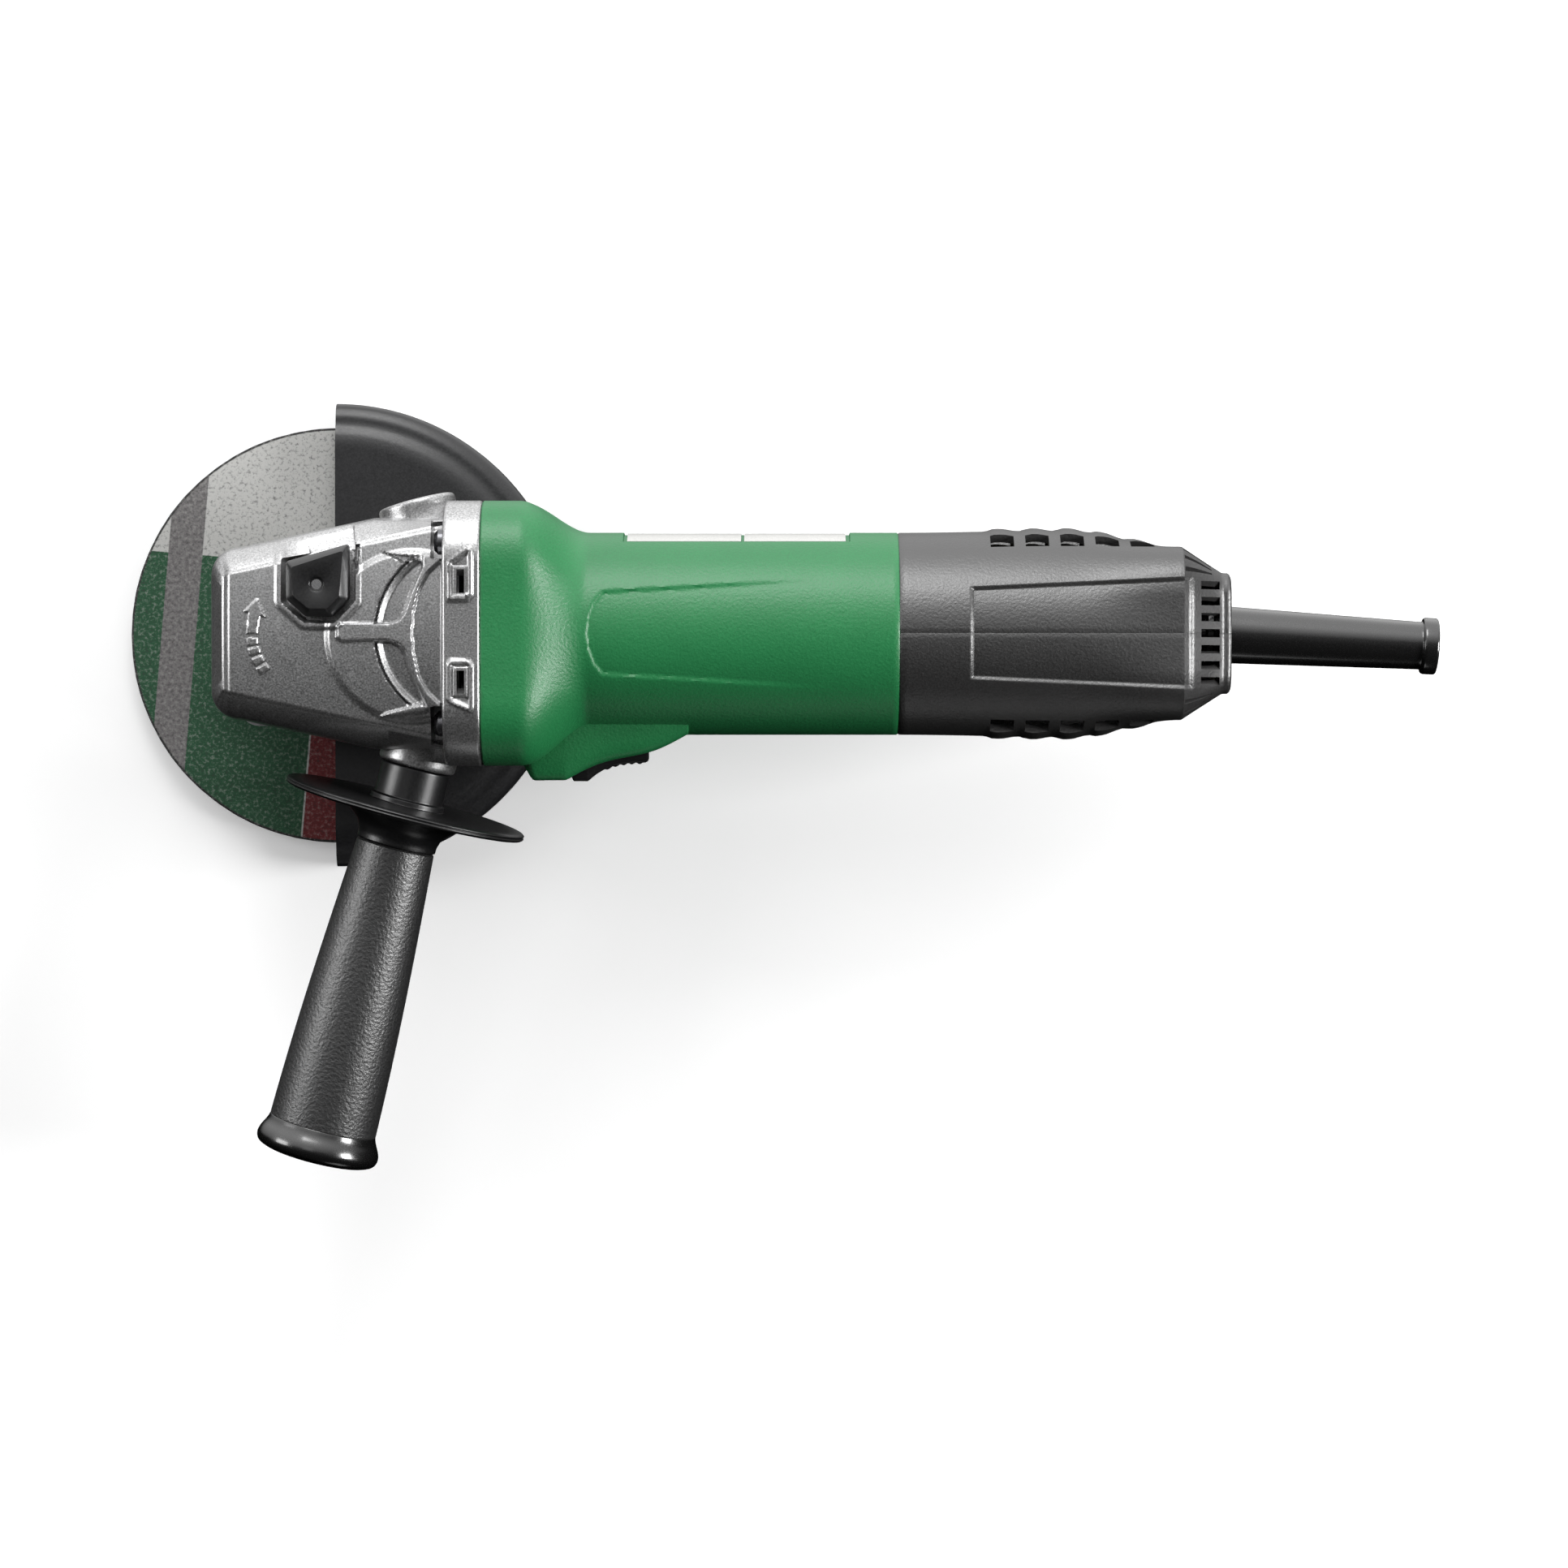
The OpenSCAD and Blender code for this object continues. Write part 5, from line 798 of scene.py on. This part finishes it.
def guard_bowl():
    """Half bowl: a pressed profile swept through 180 degrees, two skins 2 mm apart, and a lip turned in at the foot."""
    outer = softened([(26.0, 17.0), (57.5, 17.0), (60.5, 16.3), (63.0, 14.9), (66.2, 14.6), (69.5, 12.2), (69.5, 2.0)],
                     [0, 1.5, 1.2, 1.5, 3.0, 3.4, 0], 7, closed=False)
    inner = softened([(26.0, 15.0), (57.2, 15.0), (59.6, 14.4), (62.2, 13.0), (65.2, 12.7), (67.5, 10.8), (67.5, 3.2)],
                     [0, 1.5, 1.2, 1.5, 2.4, 2.6, 0], 7, closed=False)
    angle = np.radians(np.linspace(-90, 90, 181))

    def sweep(profile):
        r, z = profile[:, 0][:, None], profile[:, 1][:, None]
        start = np.clip((10.5 - z) / 8.5, 0, 1) ** 2 * 3.0 / 69.5
        a = angle[None, :] * (1 - start * 0.6366)
        return np.stack([r * np.cos(a), r * np.sin(a), z + 0 * a], -1)

    lip = np.array([(69.5, 2.0), (69.2, 2.0), (67.0, 2.0), (66.5, 2.3), (66.5, 3.0), (67.0, 3.2), (67.5, 3.2)])
    rows = np.concatenate([sweep(outer), sweep(lip)[1:], sweep(inner)[::-1][1:]])
    skin = sheet(rows, around_u=True)
    ends = []
    for column in (0, -1):
        n, m = len(outer), len(inner)
        edge_out = rows[:n, column]
        edge_in = rows[::-1][:m, column]
        ends.append(sheet(np.stack([edge_out, edge_in])))
        foot = rows[n - 1:n + len(lip) - 1, column]
        ends.append(sheet(np.stack([foot, np.linspace(foot[0], foot[-1], len(foot))])))
    return [skin] + ends


def guard_hub():
    """Flat ring with the clamping band that stands up from it, and the two ears of the clamp."""
    ring = softened([(22.05, 15.0), (30.0, 15.0), (30.0, 17.0), (23.85, 17.0), (23.85, 25.2), (22.05, 25.2)],
                    [0.1, 0.4, 0.6, 1.0, 0.5, 0.4], 5)
    ears = []
    for side in (-1, 1):
        y0, y1 = sorted((side * 1.5, side * 4.0))
        outline = softened([(-36.0, y0), (-23.0, y0), (-23.0, y1), (-36.0, y1)], 0.4, 4)
        ears.append(block(outline, [17.6, 18.0, 24.8, 25.2], [0.3, 0, 0, 0.3]))
    return [turned(ring, columns=160)] + ears


piece("guard_pressing", guard_bowl() + guard_hub(), "black_guard_paint", "guard", ["wheel_guard"])


def wheel():
    """Depressed-centre wheel: a turned profile whose rim is worn in by up to 0.12 mm in two mixed waves."""
    profile = softened([(11.12, 5.0), (22.0, 5.0), (27.2, -0.5), (62.5, -0.5), (62.5, 5.5), (27.8, 5.5), (23.0, 11.0),
                        (11.12, 11.0)], [0.2, 1.6, 1.6, 0.7, 0.7, 1.8, 1.8, 0.2], 6)
    fine = []
    for (r0, z0), (r1, z1) in zip(profile, np.roll(profile, -1, 0)):
        steps = max(1, int(math.hypot(r1 - r0, z1 - z0) / 4.0))
        fine += [(r0 + (r1 - r0) * k / steps, z0 + (z1 - z0) * k / steps) for k in range(steps)]

    def worn_rim(r, h, a):
        return r - 0.06 * (r > 62) * (1 + np.sin(37 * a) * np.sin(23 * a))

    return [turned(fine, columns=200, swell=worn_rim)]


piece("wheel_disc", wheel(), "resin_bonded_abrasive", "spindle", ["grinding_wheel"])

# ---------- lock button and switch knob ----------


PIN = (1.3, 13.8)
KNOB_X, KNOB_HALF_Z, KNOB_TOP = (72.2, 94.7), 7.6, 42.8


def finer(loop, parts=6):
    """The same closed loop with each of its edges cut into equal parts."""
    step = (np.arange(parts) / parts)[None, :, None]
    return (loop[:, None] * (1 - step) + np.roll(loop, -1, 0)[:, None] * step).reshape(-1, loop.shape[1])


def lock_button():
    """Button: bevelled block on its six-sided outline, with a dimple round the pin and a round hollow for the spring."""
    outline = softened(BUTTON, 0.9, 5)
    middle = outline.mean(0)
    pin = np.array(PIN)
    rows = []
    for z, s in ((83.2, 0.0), (88.2, 0.0), (88.9, 0.25), (90.6, 1.7), (91.2, 2.4)):
        reach = np.linalg.norm(outline - middle, axis=1, keepdims=True)
        rows.append(finer(np.c_[middle + (outline - middle) * (1 - s / reach), np.full(len(outline), z)]))
    angle = np.arctan2(*(rows[-1][:, :2] - pin).T[::-1])
    circle = np.c_[np.cos(angle), np.sin(angle)]
    for r, z in ((2.7, 91.2), (2.1, 91.0), (1.9, 90.6), (1.45, 90.5), (1.4, 90.2), (0.0, 90.2)):
        rows.append(np.c_[pin + circle * r, np.full(len(circle), z)])
    under = [np.c_[pin + circle * r, np.full(len(circle), z)] for r, z in ((0.0, 88.8), (5.0, 88.8), (5.0, 83.2))]
    return [sheet(np.array(under + rows), around_v=True)]


piece("lock_button_cap", lock_button(), "black_plastic", "lock_button", ["lock_button"])


def switch_knob():
    """Slide knob as y over an (x, z) grid: a nose, a hollow thumb rest with five ribs, rounded edges all round."""
    xs = mesh_lines(*KNOB_X, 0.25)
    zs = np.unique(np.concatenate([mesh_lines(-KNOB_HALF_Z, KNOB_HALF_Z, 0.55), [-7.3, 7.3]]))
    x, z = np.meshgrid(xs, zs, indexing="ij")
    t = np.clip((x - 77.2) / 17.5, 0, 1)
    y = np.where(x < 77.2, KNOB_TOP, 37.4 + 5.4 * (1 - t) ** 3)
    y = y - 2.0 * ease((73.6 - x) / 1.4) ** 2
    ribs = 0.45 * (0.5 - 0.5 * np.cos((x - 82.0) / 2.3 * 2 * np.pi)) * (x > 82.0) * (x < 93.5)
    y = y + ribs * ease((6.6 - np.abs(z)) / 0.8)
    rim = np.minimum(np.minimum(x - KNOB_X[0], KNOB_X[1] - x), KNOB_HALF_Z - np.abs(z))
    y = y - 0.9 * (1 - np.sqrt(1 - (1 - np.clip(rim / 0.9, 0, 1)) ** 2))
    base = np.full_like(y, 30.4) + 0.75 * ease((x - 90.0) / 4.7)
    return [walled(np.stack([x, -y, MOTOR_Z + z], -1), np.stack([x, -base, MOTOR_Z + z], -1), around_v=False)]


piece("switch_knob_cap", switch_knob(), "black_plastic", "switch_knob", ["switch_knob"])

# ---------- springs ----------


def coil(centre, radius, wire, low, high, turns):
    """Round wire along a helix from low to high, its rings closed to a point at both ends."""
    turn = np.linspace(0, 2 * np.pi * turns, 40 * turns + 1)
    turn = np.concatenate([turn[:1], turn, turn[-1:]])[:, None]
    round_wire = np.linspace(0, 2 * np.pi, 10, endpoint=False)[None, :]
    thick = np.full(turn.shape, wire)
    thick[[0, -1]] = 0
    out = radius + thick * np.cos(round_wire)
    rise = low + wire + (high - low - 2 * wire) * turn / turn[-1]
    return [sheet(np.stack([centre[0] + out * np.cos(turn), centre[1] + out * np.sin(turn),
                            rise + thick * np.sin(round_wire)], -1), around_v=True)]


BRUSH = (137.5, 0)
# Piece, node, joint, middle, (coil radius, wire radius, turns), (low end, high end), fixed end, share left at full travel
for name, node, joint, centre, (radius, wire, turns), ends, fixed, keep in (
        ("lock_spring_coil", "lock_spring", "lock_press", PIN, (3.6, 0.4, 4), (79.0, 88.7), 78.95, 0.59),
        ("brush_spring_coil_top", "brush_spring_top", "brush_feed_top", BRUSH, (2.2, 0.3, 3), (75.63, 80.23),
         80.27, 0.465),
        ("brush_spring_coil_bottom", "brush_spring_bottom", "brush_feed_bottom", BRUSH, (2.2, 0.3, 3), (31.77, 36.37),
         31.73, 0.465)):
    spring = piece(name, coil(centre, radius, wire, *ends, turns), "spring_steel", "housing", [node], sharp=60)
    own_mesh(spring)

# ---------- camera, light, floor ----------


def aimed(thing, place, target):
    """Puts a lamp or camera in its place, pointing at the target, with its upper edge towards +Y."""
    behind = (Vector(place) - Vector(target)).normalized()
    right = Vector((0, 1, 0)).cross(behind).normalized()
    facing = Matrix((right, behind.cross(right), behind)).transposed()
    thing.matrix_world = Matrix.LocRotScale(Vector(place) * MM, facing, None)
    bpy.context.scene.collection.objects.link(thing)
    return thing


lens = bpy.data.cameras.new("camera")
lens.lens, lens.sensor_width, lens.clip_end = 114.2, 36.0, 20.0
bpy.context.scene.camera = aimed(bpy.data.objects.new("camera", lens), (134.2, -14.0, 1505.0), (134.2, -44.76, 5.5))


def soft_lamp(name, place, target, size, watts):
    """A square area lamp of `size` millimetres that points at the target."""
    lamp = bpy.data.lights.new(name, "AREA")
    lamp.shape, lamp.size, lamp.energy = "SQUARE", size * MM, watts
    return aimed(bpy.data.objects.new(name, lamp), place, target)


soft_lamp("key_lamp", (20, 1050, 720), (100, 0, 40), 600, 7.5)
soft_lamp("end_lamp", (1100, -40, 560), (120, -40, 50), 400, 13)
soft_lamp("front_lamp", (-750, 150, 420), (0, 0, 50), 400, 3)
soft_lamp("rim_lamp", (170, -900, 70), (120, -40, 40), 300, 0.22)
soft_lamp("top_lamp", (-170, 240, 1250), (110, -10, 0), 420, 0.25)

world = bpy.data.worlds.new("studio")
bpy.context.scene.world = world
world.use_nodes = True
nodes, links = world.node_tree.nodes, world.node_tree.links
back = nodes["Background"]
direction = nodes.new("ShaderNodeTexCoord")
split = nodes.new("ShaderNodeSeparateXYZ")
links.new(direction.outputs["Generated"], split.inputs[0])
dim = spread(nodes, links, split.outputs[1], -0.25, 0.25, 0.012, 0.13)
bright = spread(nodes, links, split.outputs[1], 0.2, 0.75, 0.0, 1.5)
above = spread(nodes, links, split.outputs[2], -0.1, 0.1, 0.0, 1.0)
lit = nodes.new("ShaderNodeMath")
lit.operation = "MULTIPLY_ADD"
for socket, value in zip(lit.inputs, (dim, above, bright)):
    links.new(value, socket)
links.new(lit.outputs[0], back.inputs["Strength"])
back.inputs["Color"].default_value = (1, 1, 1, 1)

FLOOR_Z, FLOOR_HALF, DOME_R = -0.0008, 3, 2.9  # metres
floor_mesh = bpy.data.meshes.new("floor")
floor_mesh.from_pydata([(a * FLOOR_HALF, b * FLOOR_HALF, FLOOR_Z) for a, b in ((-1, -1), (1, -1), (1, 1), (-1, 1))],
                       [], [(0, 1, 2, 3)])
floor = bpy.data.objects.new("floor", floor_mesh)
bpy.context.scene.collection.objects.link(floor)
paper, nodes, links, shader = new_finish("white_paper")
coords = nodes.new("ShaderNodeTexCoord").outputs["Object"]
links.new(blend_colours(nodes, links, speckle(nodes, links, coords, 60.0), (0.86, 0.86, 0.86), (0.9, 0.9, 0.9)),
          shader.inputs["Base Color"])
shader.inputs["Roughness"].default_value = 0.9
shader.inputs["Emission Color"].default_value = (1, 1, 1, 1)
shader.inputs["Emission Strength"].default_value = 0.24
floor_mesh.materials.append(paper)
floor.visible_glossy = floor.visible_diffuse = False

# A pale dome far round the floor, which only the camera sees
around, rise = np.meshgrid(np.linspace(0, 2 * np.pi, 64, endpoint=False), np.linspace(0, np.pi / 2, 17))
spots, cells = sheet(np.stack([DOME_R * np.cos(rise) * np.cos(around), DOME_R * np.cos(rise) * np.sin(around),
                               DOME_R * np.sin(rise) + FLOOR_Z], -1), around_v=True)
dome_mesh = bpy.data.meshes.new("backdrop")
dome_mesh.from_pydata(spots.tolist(), [], cells.tolist())
dome = bpy.data.objects.new("backdrop", dome_mesh)
bpy.context.scene.collection.objects.link(dome)
dome.visible_diffuse = dome.visible_glossy = dome.visible_transmission = dome.visible_shadow = False
haze, nodes, links, shader = new_finish("pale_backdrop")
shader.inputs["Base Color"].default_value = (0, 0, 0, 1)
shader.inputs["Emission Color"].default_value = (1, 1, 1, 1)
shader.inputs["Emission Strength"].default_value = 0.88
dome_mesh.materials.append(haze)
bpy.context.scene.view_settings.view_transform = "Standard"
